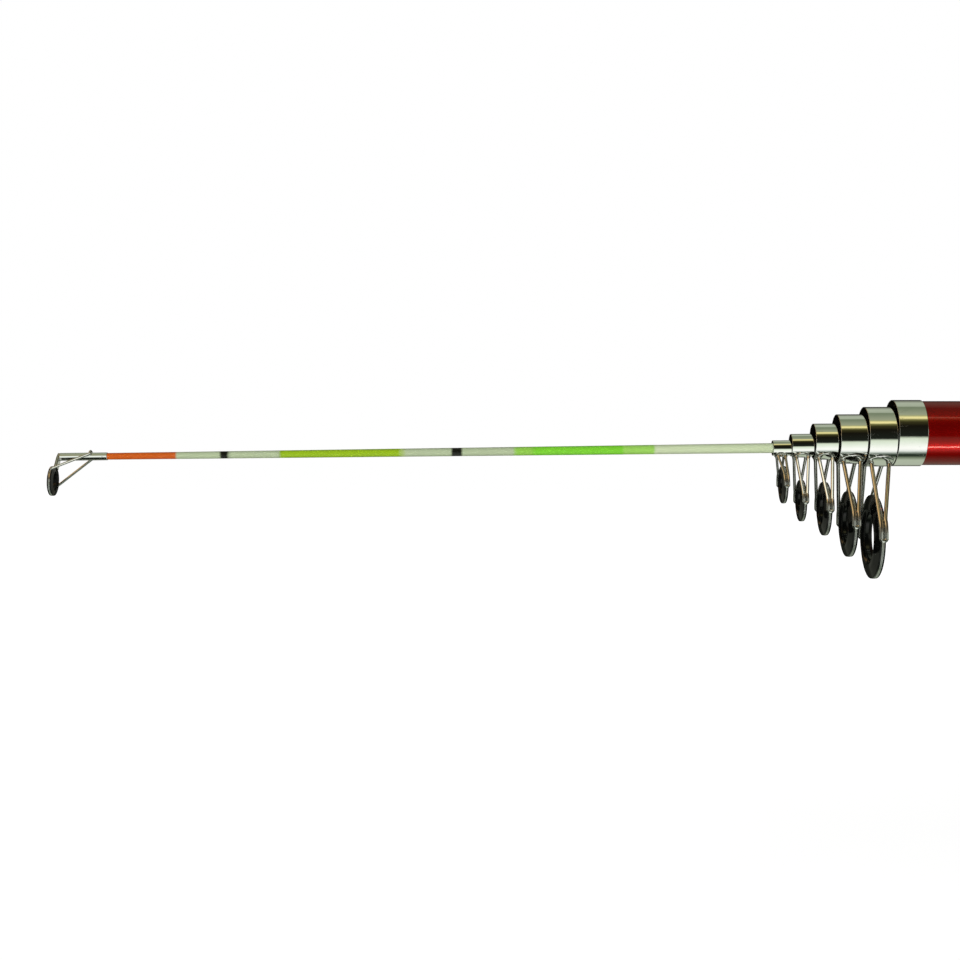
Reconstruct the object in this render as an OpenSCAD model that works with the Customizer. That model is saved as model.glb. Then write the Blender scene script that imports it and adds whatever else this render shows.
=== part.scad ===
// Telescopic spinning rod with ring guides and a screw-lock reel seat
// The rod lies along X: the tip points to -X, the butt to +X, and the guides hang toward -Z.
// Resting state: the tip is drawn out and the other sections are pushed home in the butt.
// Each pushed-home section lies on the floor of its parent's mouth,
// so the rod droops a little at every step.
// Lists run from the butt side to the tip side.

/* [Tubes] */
// Wall at the mouth of the butt tube and of sections 2 to 6
mouth_wall = [0.56, 0.85, 1, 0.47, 0.35, 0.35]; // [0.3:0.05:1.5]
// Radial play of sections 2 to 6 in the mouths that hold them
nose_play = [1, 0.78, 0.85, 1.3, 0.9]; // [0.5:0.01:1.6]
// How much wider the bore is behind the jam cone, butt tube to section 6
jam_flare = [0.2, 0.4, 0.4, 0.3, 0.25, 0.12]; // [0.1:0.01:0.5]
// Growth of the bore's radius behind the jam cone, for each 100 mm of length
bore_taper = [0, 0.04, 0.04, 0.07, 0.07, 0]; // [0:0.01:0.1]
// Lengths of the blanks of sections 2 to 6
blank_len = [300, 292, 286, 280, 274]; // [220:1:330]
// Length of the jam cone that locks a drawn section
jam_len = 45; // [30:1:60]

/* [Collars] */
// Radial build-up of each collar over its tube, butt tube to section 6
collar_wall = [0.35, 0.67, 0.72, 0.48, 0.3, 0.44]; // [0.3:0.01:0.9]
// Sheet thickness of each collar's open rim
collar_rim = [0.2, 0.25, 0.25, 0.25, 0.2, 0.16]; // [0.12:0.01:0.3]
// Length of the butt collar
butt_collar_len = 8.9; // [7:0.1:14]
// How far a tube ends behind its collar's rim
recess_depth = 2; // [1.4:0.1:3]
// Edge rounding of the collars
collar_round = 0.12; // [0.05:0.01:0.14]

/* [Fits] */
// Radial clearance of a sliding section
slide_fit = 0.15; // [0.12:0.01:0.2]
// Radial clearance of the tip in section 6
tip_fit = 0.06; // [0.04:0.01:0.1]
// Gap under a section that lies on its parent's mouth
rest_gap = 0.06; // [0.04:0.01:0.1]
// End gap at the stops and between turning rings
stop_gap = 0.3; // [0.2:0.05:0.5]
// Glue line between bonded pieces
glue_gap = 0.02; // [0.01:0.01:0.05]

/* [Guides] */
// Outer diameters of the guide rings on sections 2 to 6
ring_d = [26.4, 20.7, 16.9, 13.1, 11.9]; // [8:0.1:32]
// Line hole of each guide ring
ring_hole_d = [15, 11.6, 9.2, 7, 6.4]; // [6:0.1:20]
// Radial thickness of each ring's metal channel
ring_wall = [0.75, 0.7, 0.65, 0.55, 0.5]; // [0.4:0.05:1]
// Width of each ring's metal channel along the rod
ring_w = [1.7, 1.6, 1.45, 1.25, 1.15]; // [1:0.05:2.4]
// How far each ceramic ring stands out of its channel at either side
insert_proud = [1.05, 0.9, 0.7, 0.5, 0.45]; // [0.1:0.05:1.4]
// Fullest point of each ceramic ring, as a share of the way from its hole to its rim
insert_nose = 0.17; // [0.1:0.01:0.3]
// Where the ceramic starts to fall away toward its rim, as a share of the same way
insert_crest = 0.42; // [0.35:0.01:0.7]
// Share of the fullest width that is left at that point
insert_fall = 0.92; // [0.8:0.01:0.98]
// Depth of the groove round each ring's rim
rim_groove = 0.12; // [0.05:0.01:0.2]
// Gap between each collar's underside and its ring
ring_stand = [9.2, 8.9, 7.3, 7.35, 3.15]; // [3:0.05:12]
// Distance of each ring's plane behind its collar's front rim
ring_set = [2.9, 3.8, 3.5, 3.2, 3.3]; // [2.4:0.1:4.5]
// Wire diameter of each guide frame
wire_d = [1.3, 1.25, 1.1, 0.95, 0.8]; // [0.6:0.05:1.6]
// Sideways distance of each frame's feet from the rod's middle plane
foot_y = [4.2, 3.5, 2.6, 1.9, 1.3]; // [1:0.1:5]
// Length of each saddle strip under its collar
saddle_len = [7.85, 7.65, 6.4, 6.1, 4.8]; // [4.5:0.05:10]
// Half width of each saddle strip
saddle_half = [7.1, 5.9, 4.3, 2.9, 2.05]; // [1.8:0.05:8]
// Sheet thickness of the saddles
saddle_t = 0.4; // [0.3:0.05:0.6]
// Bare collar in front of a saddle
saddle_front = 0.3; // [0.2:0.05:0.6]
// Bare collar behind a saddle
saddle_rear = 0.6; // [0.4:0.05:1]
// Distance of a foot from the saddle's end
foot_inset = 0.5; // [0.2:0.05:0.8]
// Gap between the two legs where the wire turns round
hairpin_gap = 0.4; // [0.3:0.05:1]

/* [Tip] */
// Diameter of the tip blank where it leaves section 6
tip_mouth_d = 3.1; // [2.6:0.05:4]
// Diameter of the tip blank behind the top tube
tip_end_d = 2.1; // [1.8:0.05:2.5]
// Drawn length of the tip blank up to the top tube
tip_run = 208.3; // [160:0.1:260]
// Length of the tip that stays in section 6
tip_hold = 40; // [30:1:50]
// Length of the top tube
top_tube_len = 14.9; // [10:0.1:20]
// Outer diameter of the top tube
top_tube_d = 2.45; // [2.2:0.05:3.2]
// Depth of the blank in the top tube
top_tube_grip = 12; // [8:0.5:14]
// Wall of the top tube
top_tube_wall = 0.28; // [0.2:0.01:0.4]
// Turn of the top ring about the rod, toward -Y
top_roll = 33; // [0:1:45]
// Lean of the top ring
top_lean = 3; // [0:1:12]
// Outer diameter of the top ring
top_ring_d = 9.3; // [7:0.1:12]
// Line hole of the top ring
top_hole_d = 5.6; // [4:0.1:7]
// Radial thickness of the top ring's channel
top_ring_wall = 0.45; // [0.3:0.05:0.8]
// Width of the top ring's channel
top_ring_w = 1.2; // [0.8:0.05:2]
// How far the top ceramic ring stands out of its channel
top_proud = 0.35; // [0.1:0.05:0.5]
// Distance of the top ring's centre from the rod's axis
top_drop = 9; // [7.5:0.1:12]
// Distance of the top ring's plane in front of the top tube
top_lead = 1; // [0.8:0.1:3]
// Wire diameter of the brace
brace_d = 0.8; // [0.5:0.05:1.2]
// Distance of the brace from the rear end of the top tube
brace_set = 5.3; // [3:0.1:8]
// Height of the brace's ends above the top ring's centre
brace_rise = 1.2; // [0:0.1:2]
// Width of the front strut
strut_w = 1.7; // [1:0.1:2.4]
// Thickness of the front strut
strut_t = 0.6; // [0.4:0.05:0.8]

/* [Tip bands] */
// Distances of the band edges from the top tube
band_at = [0, 21.7, 35.3, 38.1, 53.9, 91.9, 107.8, 111.1, 127.6, 171.3]; // [0:0.1:200]

/* [Handle] */
// Length of the trim ring in front of the fore grip
check_len = 3; // [2:0.5:6]
// Diameter of the trim rings
check_d = 24.6; // [22:0.1:28]
// Bevel of the trim rings
check_bevel = 0.75; // [0.3:0.05:0.9]
// Length of the fore grip
fore_len = 46; // [35:1:70]
// Diameter of the fore grip at its middle
fore_d = 27; // [24:0.5:32]
// Swell of the fore grip, measured on the radius
fore_swell = 1.2; // [0.5:0.1:3]
// Length of the rear grip
rear_len = 66; // [60:1:90]
// Diameter of the rear grip, which drops into rod holders
rear_d = 26; // [24:0.5:32]
// Edge rounding of the grips
grip_round = 2.5; // [1:0.1:3]
// Flat that is left round the tube at a grip's ends
grip_land = 0.4; // [0.2:0.1:1]
// Length of the trim ring behind the rear grip
rear_ring_len = 3; // [2:0.5:6]

/* [Reel seat] */
// Length of the barrel
barrel_len = 103; // [95:1:130]
// Wall of the barrel
barrel_wall = 2; // [1.5:0.1:3]
// Pitch of the barrel's thread
thread_pitch = 3; // [2:0.25:4]
// Depth of the barrel's thread
thread_depth = 0.6; // [0.4:0.05:0.8]
// Depth of the flat that the reel foot lies on
bed_depth = 0.6; // [0.3:0.05:0.8]
// Running clearance of the sliding hood and the lock nut
seat_fit = 0.2; // [0.12:0.01:0.35]
// Wall of the hoods
hood_wall = 1.8; // [1.2:0.1:3]
// Length of each hood
hood_len = 16; // [12:0.5:22]
// Thickness of the closed end of a hood's pocket
hood_end = 4; // [2:0.5:6]
// Width of the reel foot's pocket
pocket_w = 16.5; // [14:0.1:18]
// Height of the pocket under the barrel
pocket_h = 5; // [4.6:0.1:6]
// Length of the lock nut
nut_len = 12; // [9:0.5:16]
// Radial thickness of the lock nut
nut_wall = 2.6; // [2:0.1:4]
// Number of grip flutes round the lock nut
nut_flutes = 18; // [12:1:24]
// Radius of a grip flute
flute_r = 1.1; // [0.6:0.05:1.3]
// Plain barrel in front of the lock nut
nut_lead = 3; // [2:0.5:6]
// Travel of the sliding hood
hood_travel = 18; // [10:1:24]

/* [Butt cap] */
// Length of the threaded socket in the butt
socket_len = 16; // [12:0.5:24]
// Wall of the threaded socket
socket_wall = 1.2; // [0.8:0.1:2]
// Clearance of the cap's thread
cap_fit = 0.1; // [0.05:0.01:0.2]
// Thickness of the sealing washer
washer_t = 1; // [0.6:0.1:2]
// Length of the cap's head
cap_len = 11; // [8:0.5:16]
// Diameter of the cap's head
cap_d = 25; // [22:0.5:26]
// Bevel of the cap's head
cap_bevel = 1.4; // [0.5:0.1:2]
// Number of flutes round the cap's head
cap_flutes = 24; // [16:1:30]
// Radius of a cap flute
cap_flute_r = 0.8; // [0.4:0.05:1]
// Height of the rubber bumper
bumper_h = 5; // [3:0.5:10]
// Thickness of the felt pad that quiets the sections
pad_t = 5; // [3:0.5:8]
// Hole in the felt pad
pad_hole_d = 4; // [2:0.5:8]
// Gap between the pad and the sections
pad_gap = 0.8; // [0.4:0.1:3]

/* [Hidden] */
$fn = 96;
// How far a cut runs past the faces that it opens
over = 1;
// Steps of a rounded corner and of a grip's swell
corner_steps = 6;
swell_steps = 12;
// Steps of the swept wires: sides of the wire, along the ring's rim and round a bend
wire_sides = 8;
lap_steps = 4;
bend_steps = 8;

// Tube n: 0 is the butt tube, 1 to 5 are sections 2 to 6
last = len(mouth_wall) - 1;
function mouth_r(n) = n == last ? tip_mouth_d / 2 + tip_fit : front_r(n + 1) + nose_play[n];
function front_r(n) = mouth_r(n) + mouth_wall[n];
function deep_r(n) = mouth_r(n) + jam_flare[n];
function collar_r(n) = front_r(n) + collar_wall[n];
function recess_r(n) = collar_r(n) - collar_rim[n];
function bore_r(n, behind) = deep_r(n) + bore_taper[n] * behind / 100;

// A pushed-home section: how much of it shows, how far its nose drops and how far it tilts
entry = recess_depth - stop_gap;
function shown(n) = saddle_front + saddle_len[n - 1] + saddle_rear;
function collar_len(n) = n == 0 ? butt_collar_len : shown(n) + entry;
function drop(n) = nose_play[n - 1] - rest_gap;
function travel(n) = blank_len[n - 1] - shown(n) - jam_len;
function tail_drop(n) = bore_r(n - 1, travel(n)) - deep_r(n - 1) + slide_fit - rest_gap;
function tilt(n) = asin((drop(n) - tail_drop(n)) / (recess_depth + blank_len[n - 1]));
function shown_to(n) = n == 0 ? 0 : shown(n) + shown_to(n - 1);
function rear_end(n) = recess_depth + blank_len[n - 1] - shown_to(n);

// Guides
function ring_r(n) = ring_d[n - 1] / 2;
function seat_r(n) = collar_r(n) + saddle_t;
function ring_drop(n) = collar_r(n) + ring_stand[n - 1] + ring_r(n);

// Stations along the butt, measured from the front rim of its collar
pad_at = max([for (n = [1:last]) rear_end(n)]) + pad_gap;
socket_at = pad_at + pad_t;
tube_end = socket_at + socket_len;
rear_ring_at = tube_end - rear_ring_len;
rear_grip_at = rear_ring_at - rear_len;
barrel_at = rear_grip_at - barrel_len;
fore_at = barrel_at - fore_len;
check_at = fore_at - check_len;
nut_at = barrel_at + nut_lead;
slide_hood_at = nut_at + nut_len + stop_gap;
fixed_hood_at = barrel_at + barrel_len - hood_len;
thread_len = nut_lead + nut_len + hood_len + hood_travel;
bed_at = barrel_at + thread_len + thread_pitch;

// Radii of the handle
tube_r = front_r(0);
sleeve_r = tube_r + glue_gap;
barrel_r = sleeve_r + barrel_wall;
hood_bore = barrel_r + seat_fit;
pocket_floor = hood_bore + pocket_h;
socket_r = deep_r(0) - glue_gap;
socket_bore = socket_r - socket_wall;
plug_r = socket_bore - cap_fit;
// The origin lies on the axis, at the middle of the rear grip
origin_at = rear_grip_at + rear_len / 2;

chrome = "#c9ccca";
lacquer = "#7c0a06";
glass_fibre = "#c6cbb2";
ceramic = "#15171a";
foam = "#1d1e20";
moulding = "#26282b";
alloy = "#a9adb0";
rubber_black = "#18181a";
felt = "#4c4a45";
brass = "#b39a55";
band_colours = ["#d75f14", "#e4e6da", "#121212", "#e4e6da", "#9bc814", "#e4e6da", "#121212", "#e4e6da",
    "#73d732", "#c9d2b4"];

// Places its children in tube n's own frame: X runs back from the front rim of its collar
module at_tube(n) {
    if (n == 0)
        translate([-origin_at, 0, 0]) children();
    else
        at_tube(n - 1) translate([-shown(n), 0, -drop(n)]) rotate([0, -tilt(n), 0]) children();
}

// Turns an outline of [radius, distance along X] points about the X axis
module turned(points) {
    rotate([0, 90, 0]) rotate_extrude() polygon(points);
}

// A tube along X from one station to another
module sleeve(from, to, outer, bore) {
    translate([from, 0, 0]) rotate([0, 90, 0]) difference() {
        cylinder(r = outer, h = to - from);
        translate([0, 0, -over]) cylinder(r = bore, h = to - from + 2 * over);
    }
}

// Quarter-round corner points about a centre, from one angle to another
function corner(centre, r, from, to) =
    [for (k = [0:corner_steps])
        let (angle = from + (to - from) * k / corner_steps)
        centre + r * [cos(angle), sin(angle)]];

// Tapered tube with a jam cone in its mouth and a matching cone on its base
module blank(n) {
    front = recess_depth;
    rear = recess_depth + blank_len[n - 1];
    color(lacquer) turned([
        [mouth_r(n), front],
        [front_r(n), front],
        [front_r(n), collar_len(n)],
        [mouth_r(n - 1) - slide_fit, rear - jam_len],
        [deep_r(n - 1) - slide_fit, rear],
        [bore_r(n, blank_len[n - 1] - jam_len), rear],
        [deep_r(n), front + jam_len]
    ]);
}

// Drawn metal collar: its thin rim stands past the tube's end and takes in the next collar
module collar(n) {
    r = collar_r(n);
    rim = recess_r(n);
    bore = front_r(n) + glue_gap;
    color(chrome) turned(concat(
        [[rim, 0]],
        corner([r - collar_round, collar_round], collar_round, -90, 0),
        corner([r - collar_round, collar_len(n) - collar_round], collar_round, 0, 90),
        [[bore, collar_len(n)], [bore, recess_depth], [rim, recess_depth]]
    ));
}

// Saddle strip that wraps the underside of a collar
module saddle(n) {
    len = saddle_len[n - 1];
    mid = saddle_front + len / 2;
    color(chrome) intersection() {
        sleeve(saddle_front, saddle_front + len, seat_r(n), collar_r(n) + glue_gap);
        translate([mid, 0, -2 * seat_r(n)]) cylinder(r = saddle_half[n - 1], h = 2 * seat_r(n));
    }
}

// Round wire swept along a path; each of its two ends is a list of points round a middle point
function unit(v) = v / norm(v);
function heading(path, k) = unit(path[min(k + 1, len(path) - 1)] - path[max(k - 1, 0)]);
function section(p, along, across, d) =
    let (a = unit(cross(along, across)), b = cross(along, a))
    [for (k = [0:wire_sides - 1])
        let (angle = 360 * k / wire_sides)
        p + d / 2 * (a * cos(angle) + b * sin(angle))];
function sections(path, across, d) =
    [for (k = [0:len(path) - 1]) section(path[k], heading(path, k), across, d)];

module swept(rings, ends) {
    last_ring = len(rings) - 1;
    side = [for (k = [0:wire_sides - 1]) [k, (k + 1) % wire_sides]];
    polyhedron(
        points = concat([for (ring = rings, p = ring) p], ends),
        faces = concat(
            [for (i = [0:last_ring - 1], e = side, half = [0, 1])
                let (near = i * wire_sides, far = near + wire_sides)
                half == 0 ? [near + e[0], far + e[0], far + e[1]] : [near + e[0], far + e[1], near + e[1]]],
            [for (e = side) [e[0], e[1], len(rings) * wire_sides]],
            [for (e = side) [last_ring * wire_sides + e[1], last_ring * wire_sides + e[0],
                len(rings) * wire_sides + 1]]
        )
    );
}

// Moves a point back along a direction until it lies on a cylinder about the X axis
function onto(p, along, r) =
    let (q = [p.y, p.z], v = [along.y, along.z], b = q * v / (v * v), c = (q * q - r * r) / (v * v))
    p - (b - sqrt(b * b - c)) * along;

// One side of a guide frame: a wire that runs down from the saddle, lies along the ring's rim,
// turns round at the ring's widest point and runs back up
module hairpin(n) {
    d = wire_d[n - 1];
    lap_r = ring_r(n) + d / 2 + glue_gap;
    half = (d + hairpin_gap) / 2;
    centre = [ring_set[n - 1], 0, -ring_drop(n)];
    foot = [foot_y[n - 1], -sqrt(pow(seat_r(n), 2) - pow(foot_y[n - 1], 2))];
    up = foot - [0, centre.z];
    touch = atan2(up.x, up.y) + acos(lap_r / norm(up));
    lap = [for (k = [0:lap_steps])
        let (angle = touch + (90 - touch) * k / lap_steps)
        centre + lap_r * [0, sin(angle), cos(angle)]];
    bend = [for (k = [1:bend_steps - 1])
        centre + [0, lap_r, 0] - half * [cos(180 * k / bend_steps), 0, sin(180 * k / bend_steps)]];
    aside = [half, 0, 0];
    first = saddle_front + foot_inset + d / 2;
    spread = saddle_len[n - 1] - 2 * foot_inset - d;
    path = concat(
        [[first, foot.x, foot.y]],
        [for (p = lap) p - aside],
        bend,
        [for (k = [lap_steps:-1:0]) lap[k] + aside],
        [[first + spread, foot.x, foot.y]]
    );
    end = len(path) - 1;
    out = [heading(path, 0), -heading(path, end)];
    seat = seat_r(n) + glue_gap;
    rings = sections(path, [0, 1, 0], d);
    swept(
        [for (k = [0:end]) k == 0 || k == end
            ? [for (p = rings[k]) onto(p, out[k == 0 ? 0 : 1], seat)]
            : rings[k]],
        [onto(path[0], out[0], seat), onto(path[end], out[1], seat)]
    );
}

module legs(n) {
    color(chrome) for (side = [0, 1])
        mirror([0, side, 0]) hairpin(n);
}

// Metal channel of a guide ring, with a shallow groove round its rim, about the X axis
module channel(r, wall, w) {
    root = r - rim_groove;
    color(chrome) turned([
        [r - wall, -w / 2], [root, -w / 2], [r, -w / 4], [root, 0],
        [r, w / 4], [root, w / 2], [r - wall, w / 2]
    ]);
}

// Ceramic ring: its faces slope in from the channel to a straight line hole
module ceramic_ring(r, hole, w, proud) {
    nose = hole + insert_nose * (r - hole);
    crest = hole + insert_crest * (r - hole);
    full = w / 2 + proud;
    fall = insert_fall * full;
    color(ceramic) turned([
        [hole, -w / 4], [nose, -full], [crest, -fall], [r, -w / 2],
        [r, w / 2], [crest, fall], [nose, full], [hole, w / 4]
    ]);
}

module guide_ring(n) {
    translate([ring_set[n - 1], 0, -ring_drop(n)]) channel(ring_r(n), ring_wall[n - 1], ring_w[n - 1]);
}

module guide_insert(n) {
    translate([ring_set[n - 1], 0, -ring_drop(n)])
        ceramic_ring(ring_r(n) - ring_wall[n - 1] - glue_gap, ring_hole_d[n - 1] / 2, ring_w[n - 1],
            insert_proud[n - 1]);
}

// Tip: everything here is measured along section 6's axis, X toward the butt
top_end = tip_run + top_tube_len;
tube_bore = top_tube_d / 2 - top_tube_wall;
spigot_r = tube_bore - glue_gap;
function tip_r(x) =
    tip_end_d / 2 + (tip_mouth_d - tip_end_d) / 2 * (x + tip_run) / (tip_run + recess_depth);

module tip_blank() {
    edges = concat([for (b = band_at) b - tip_run], [recess_depth]);
    at_tube(last) {
        color(band_colours[0]) turned([[0, -tip_run - top_tube_grip], [spigot_r, -tip_run - top_tube_grip],
            [spigot_r, -tip_run], [0, -tip_run]]);
        for (k = [0:len(band_at) - 1])
            color(band_colours[k]) turned([[0, edges[k]], [tip_r(edges[k]), edges[k]],
                [tip_r(edges[k + 1]), edges[k + 1]], [0, edges[k + 1]]]);
        color(glass_fibre) turned([
            [0, recess_depth],
            [tip_mouth_d / 2, recess_depth],
            [tip_mouth_d / 2 + jam_flare[last] * tip_hold / jam_len, recess_depth + tip_hold],
            [0, recess_depth + tip_hold]
        ]);
    }
}

module tip_tube() {
    at_tube(last) color(chrome) sleeve(-top_end, -tip_run, top_tube_d / 2, tube_bore);
}

// Turns the top ring's pieces about the rod and puts them in front of the top tube
module at_top() {
    at_tube(last) translate([-top_end, 0, 0]) rotate([-top_roll, 0, 0]) children();
}

module at_top_ring() {
    at_top() translate([-top_lead, 0, -top_drop]) rotate([0, top_lean, 0]) children();
}

module top_rim_cut() {
    translate([-top_lead, 0, -top_drop]) rotate([0, top_lean, 0]) rotate([0, 90, 0])
        cylinder(d = top_ring_d + 2 * glue_gap, h = top_ring_d, center = true);
}

// Flat strut across the front of the top tube, down to the rim of the top ring
module tip_strut() {
    reach = top_drop - top_ring_d / 2;
    at_top() color(chrome) difference() {
        rotate([90, 0, 0]) linear_extrude(height = strut_w, center = true) polygon([
            [-glue_gap, top_tube_d / 2],
            [-glue_gap, -top_tube_d / 2],
            [-top_lead + strut_t / 2, -reach - strut_t],
            [-top_lead - strut_t / 2, -reach - strut_t],
            [-glue_gap - strut_t, top_tube_d / 2 - strut_t]
        ]);
        top_rim_cut();
    }
}

// Wire brace: it loops over the top tube and both ends reach down to the sides of the top ring
module tip_brace() {
    loop_r = (top_tube_d + brace_d) / 2 + glue_gap;
    lap_r = (top_ring_d + brace_d) / 2 + glue_gap;
    loop_at = top_tube_len - brace_set;
    side_y = sqrt(pow(lap_r, 2) - pow(brace_rise, 2));
    foot_x = brace_rise * sin(top_lean) - top_lead;
    path = concat(
        [[foot_x, -side_y, brace_rise - top_drop]],
        [for (k = [0:bend_steps])
            [loop_at, -loop_r * cos(180 * k / bend_steps), loop_r * sin(180 * k / bend_steps)]],
        [[foot_x, side_y, brace_rise - top_drop]]
    );
    at_top() color(chrome) swept(sections(path, [1, 0, 0], brace_d), [path[0], path[len(path) - 1]]);
}

module tip_ring() {
    at_top_ring() channel(top_ring_d / 2, top_ring_wall, top_ring_w);
}

module tip_insert() {
    seat = top_ring_d / 2 - top_ring_wall - glue_gap;
    at_top_ring() ceramic_ring(seat, top_hole_d / 2, top_ring_w, top_proud);
}

// Butt and handle
module butt_tube() {
    at_tube(0) color(lacquer) turned([
        [mouth_r(0), recess_depth], [tube_r, recess_depth], [tube_r, tube_end],
        [bore_r(0, tube_end - recess_depth - jam_len), tube_end], [deep_r(0), recess_depth + jam_len]
    ]);
}

module butt_collar() {
    at_tube(0) collar(0);
}

module trim_ring(from, len) {
    r = check_d / 2;
    color(alloy) turned([
        [sleeve_r, from], [r - check_bevel, from], [r, from + check_bevel],
        [r, from + len - check_bevel], [r - check_bevel, from + len], [sleeve_r, from + len]
    ]);
}

module winding_check() {
    at_tube(0) trim_ring(check_at, check_len);
}

module rear_ring() {
    at_tube(0) trim_ring(rear_ring_at, rear_ring_len);
}

// Foam grip with rounded ends; its outline swells along half a sine wave
module foam_grip(from, len, r, swell) {
    end_r = r - swell;
    edge = min(grip_round, end_r - sleeve_r - grip_land);
    body = len - 2 * edge;
    color(foam) turned(concat(
        [[sleeve_r, from]],
        corner([end_r - edge, from + edge], edge, -90, 0),
        swell == 0 ? [] : [for (k = [1:swell_steps - 1])
            [end_r + swell * sin(180 * k / swell_steps), from + edge + body * k / swell_steps]],
        corner([end_r - edge, from + len - edge], edge, 0, 90),
        [[sleeve_r, from + len]]
    ));
}

module fore_grip() {
    at_tube(0) foam_grip(fore_at, fore_len, fore_d / 2, fore_swell);
}

module rear_grip() {
    at_tube(0) foam_grip(rear_grip_at, rear_len, rear_d / 2, 0);
}

// Reel seat barrel: thread ridges at the front, a flat bed for the reel foot behind them.
// Root, flanks and crest of a ridge take a quarter of the pitch each.
module reel_seat_barrel() {
    turns = floor(thread_len / thread_pitch);
    root = barrel_r - thread_depth;
    ridge = [root, barrel_r, barrel_r, root];
    at_tube(0) color(moulding) difference() {
        turned(concat(
            [[sleeve_r, barrel_at], [root, barrel_at]],
            [for (k = [0:turns - 1], q = [1:4]) [ridge[q - 1], barrel_at + (k + q / 4) * thread_pitch]],
            [[root, bed_at - thread_pitch / 2], [barrel_r, bed_at], [barrel_r, barrel_at + barrel_len],
                [sleeve_r, barrel_at + barrel_len]]
        ));
        translate([bed_at, -barrel_r, bed_depth - 3 * barrel_r])
            cube([barrel_len, 2 * barrel_r, 2 * barrel_r]);
    }
}

// Hood with a pocket for one end of the reel foot, open toward +X
module hood(bore) {
    outer = hood_bore + hood_wall;
    cheek = pocket_w / 2 + hood_wall;
    keel_r = pocket_floor + hood_wall;
    difference() {
        union() {
            sleeve(0, hood_len, outer, bore);
            difference() {
                intersection() {
                    rotate([0, 90, 0]) cylinder(r = keel_r, h = hood_len);
                    translate([0, -cheek, -2 * keel_r]) cube([hood_len, 2 * cheek, 2 * keel_r]);
                }
                translate([-over, 0, 0]) rotate([0, 90, 0]) cylinder(r = bore, h = hood_len + 2 * over);
            }
        }
        translate([hood_end, -pocket_w / 2, -pocket_floor]) cube([hood_len, pocket_w, pocket_floor]);
    }
}

module sliding_hood() {
    at_tube(0) translate([slide_hood_at, 0, 0]) color(moulding) hood(hood_bore);
}

module fixed_hood() {
    at_tube(0) translate([fixed_hood_at + hood_len, 0, 0]) mirror([1, 0, 0]) color(moulding)
        hood(barrel_r + glue_gap);
}

// A ring of flutes cut along X
module flutes(count, r, cut_r, len) {
    for (k = [0:count - 1])
        rotate([360 * k / count, 0, 0]) translate([-over, 0, r]) rotate([0, 90, 0])
            cylinder(r = cut_r, h = len + 2 * over);
}

module lock_nut() {
    outer = hood_bore + nut_wall;
    at_tube(0) translate([nut_at, 0, 0]) color(alloy) difference() {
        sleeve(0, nut_len, outer, hood_bore);
        flutes(nut_flutes, outer + flute_r / 2, flute_r, nut_len);
    }
}

// Butt cap: a threaded plug with a fluted head, on a sealing washer
module cap_socket() {
    at_tube(0) color(brass) sleeve(socket_at, tube_end, socket_r, socket_bore);
}

module cap_washer() {
    at_tube(0) color(rubber_black) sleeve(tube_end, tube_end + washer_t, tube_r, plug_r + cap_fit);
}

module butt_cap() {
    head_at = tube_end + washer_t;
    r = cap_d / 2;
    end = head_at + cap_len;
    at_tube(0) color(alloy) difference() {
        turned([
            [0, socket_at], [plug_r, socket_at], [plug_r, head_at], [r - cap_bevel, head_at],
            [r, head_at + cap_bevel], [r, end - cap_bevel], [r - cap_bevel, end], [0, end]
        ]);
        translate([head_at, 0, 0]) flutes(cap_flutes, (cap_d + cap_flute_r) / 2, cap_flute_r, cap_len);
    }
}

module butt_bumper() {
    from = tube_end + washer_t + cap_len;
    base = cap_d / 2 - cap_bevel;
    at_tube(0) color(rubber_black) turned(concat(
        [[0, from], [base, from]],
        corner([base - bumper_h, from], bumper_h, 0, 90),
        [[0, from + bumper_h]]
    ));
}

module rattle_pad() {
    at_tube(0) color(felt) sleeve(pad_at, socket_at, plug_r, pad_hole_d / 2);
}

butt_tube();
butt_collar();
winding_check();
fore_grip();
reel_seat_barrel();
fixed_hood();
sliding_hood();
lock_nut();
rear_grip();
rear_ring();
cap_socket();
cap_washer();
butt_cap();
butt_bumper();
rattle_pad();
for (n = [1:last]) {
    name = str("section_", n + 1);
    at_tube(n) blank(n);
    at_tube(n) collar(n);
    at_tube(n) saddle(n);
    at_tube(n) legs(n);
    at_tube(n) guide_ring(n);
    at_tube(n) guide_insert(n);
}
tip_blank();
tip_tube();
tip_strut();
tip_brace();
tip_ring();
tip_insert();
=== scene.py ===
import math
import bpy
import numpy as np
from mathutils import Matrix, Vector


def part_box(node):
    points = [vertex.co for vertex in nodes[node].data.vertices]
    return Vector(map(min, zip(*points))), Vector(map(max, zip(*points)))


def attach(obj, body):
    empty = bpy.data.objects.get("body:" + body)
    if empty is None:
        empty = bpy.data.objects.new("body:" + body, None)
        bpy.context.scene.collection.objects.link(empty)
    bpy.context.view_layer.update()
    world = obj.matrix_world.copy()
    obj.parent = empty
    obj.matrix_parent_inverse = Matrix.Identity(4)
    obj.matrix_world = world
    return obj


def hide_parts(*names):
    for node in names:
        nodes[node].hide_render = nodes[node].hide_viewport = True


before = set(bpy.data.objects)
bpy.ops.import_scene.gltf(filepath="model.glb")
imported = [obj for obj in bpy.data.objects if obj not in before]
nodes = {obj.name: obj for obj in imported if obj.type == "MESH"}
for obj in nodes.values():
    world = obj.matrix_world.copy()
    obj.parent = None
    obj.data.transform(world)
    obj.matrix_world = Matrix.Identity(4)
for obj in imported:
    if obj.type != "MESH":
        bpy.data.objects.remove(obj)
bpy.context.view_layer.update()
print("frame loaded,", len(nodes), "nodes")

metre = 0.001  # lengths below are in mm and become metres when a piece is placed
turn = 2 * math.pi


# measuring the frame
def nodePoints(name):
    mesh = nodes[name].data
    flat = np.empty(len(mesh.vertices) * 3, np.float32)
    mesh.vertices.foreach_get("co", flat)
    return flat.reshape(-1, 3).astype(float) / metre


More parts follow.
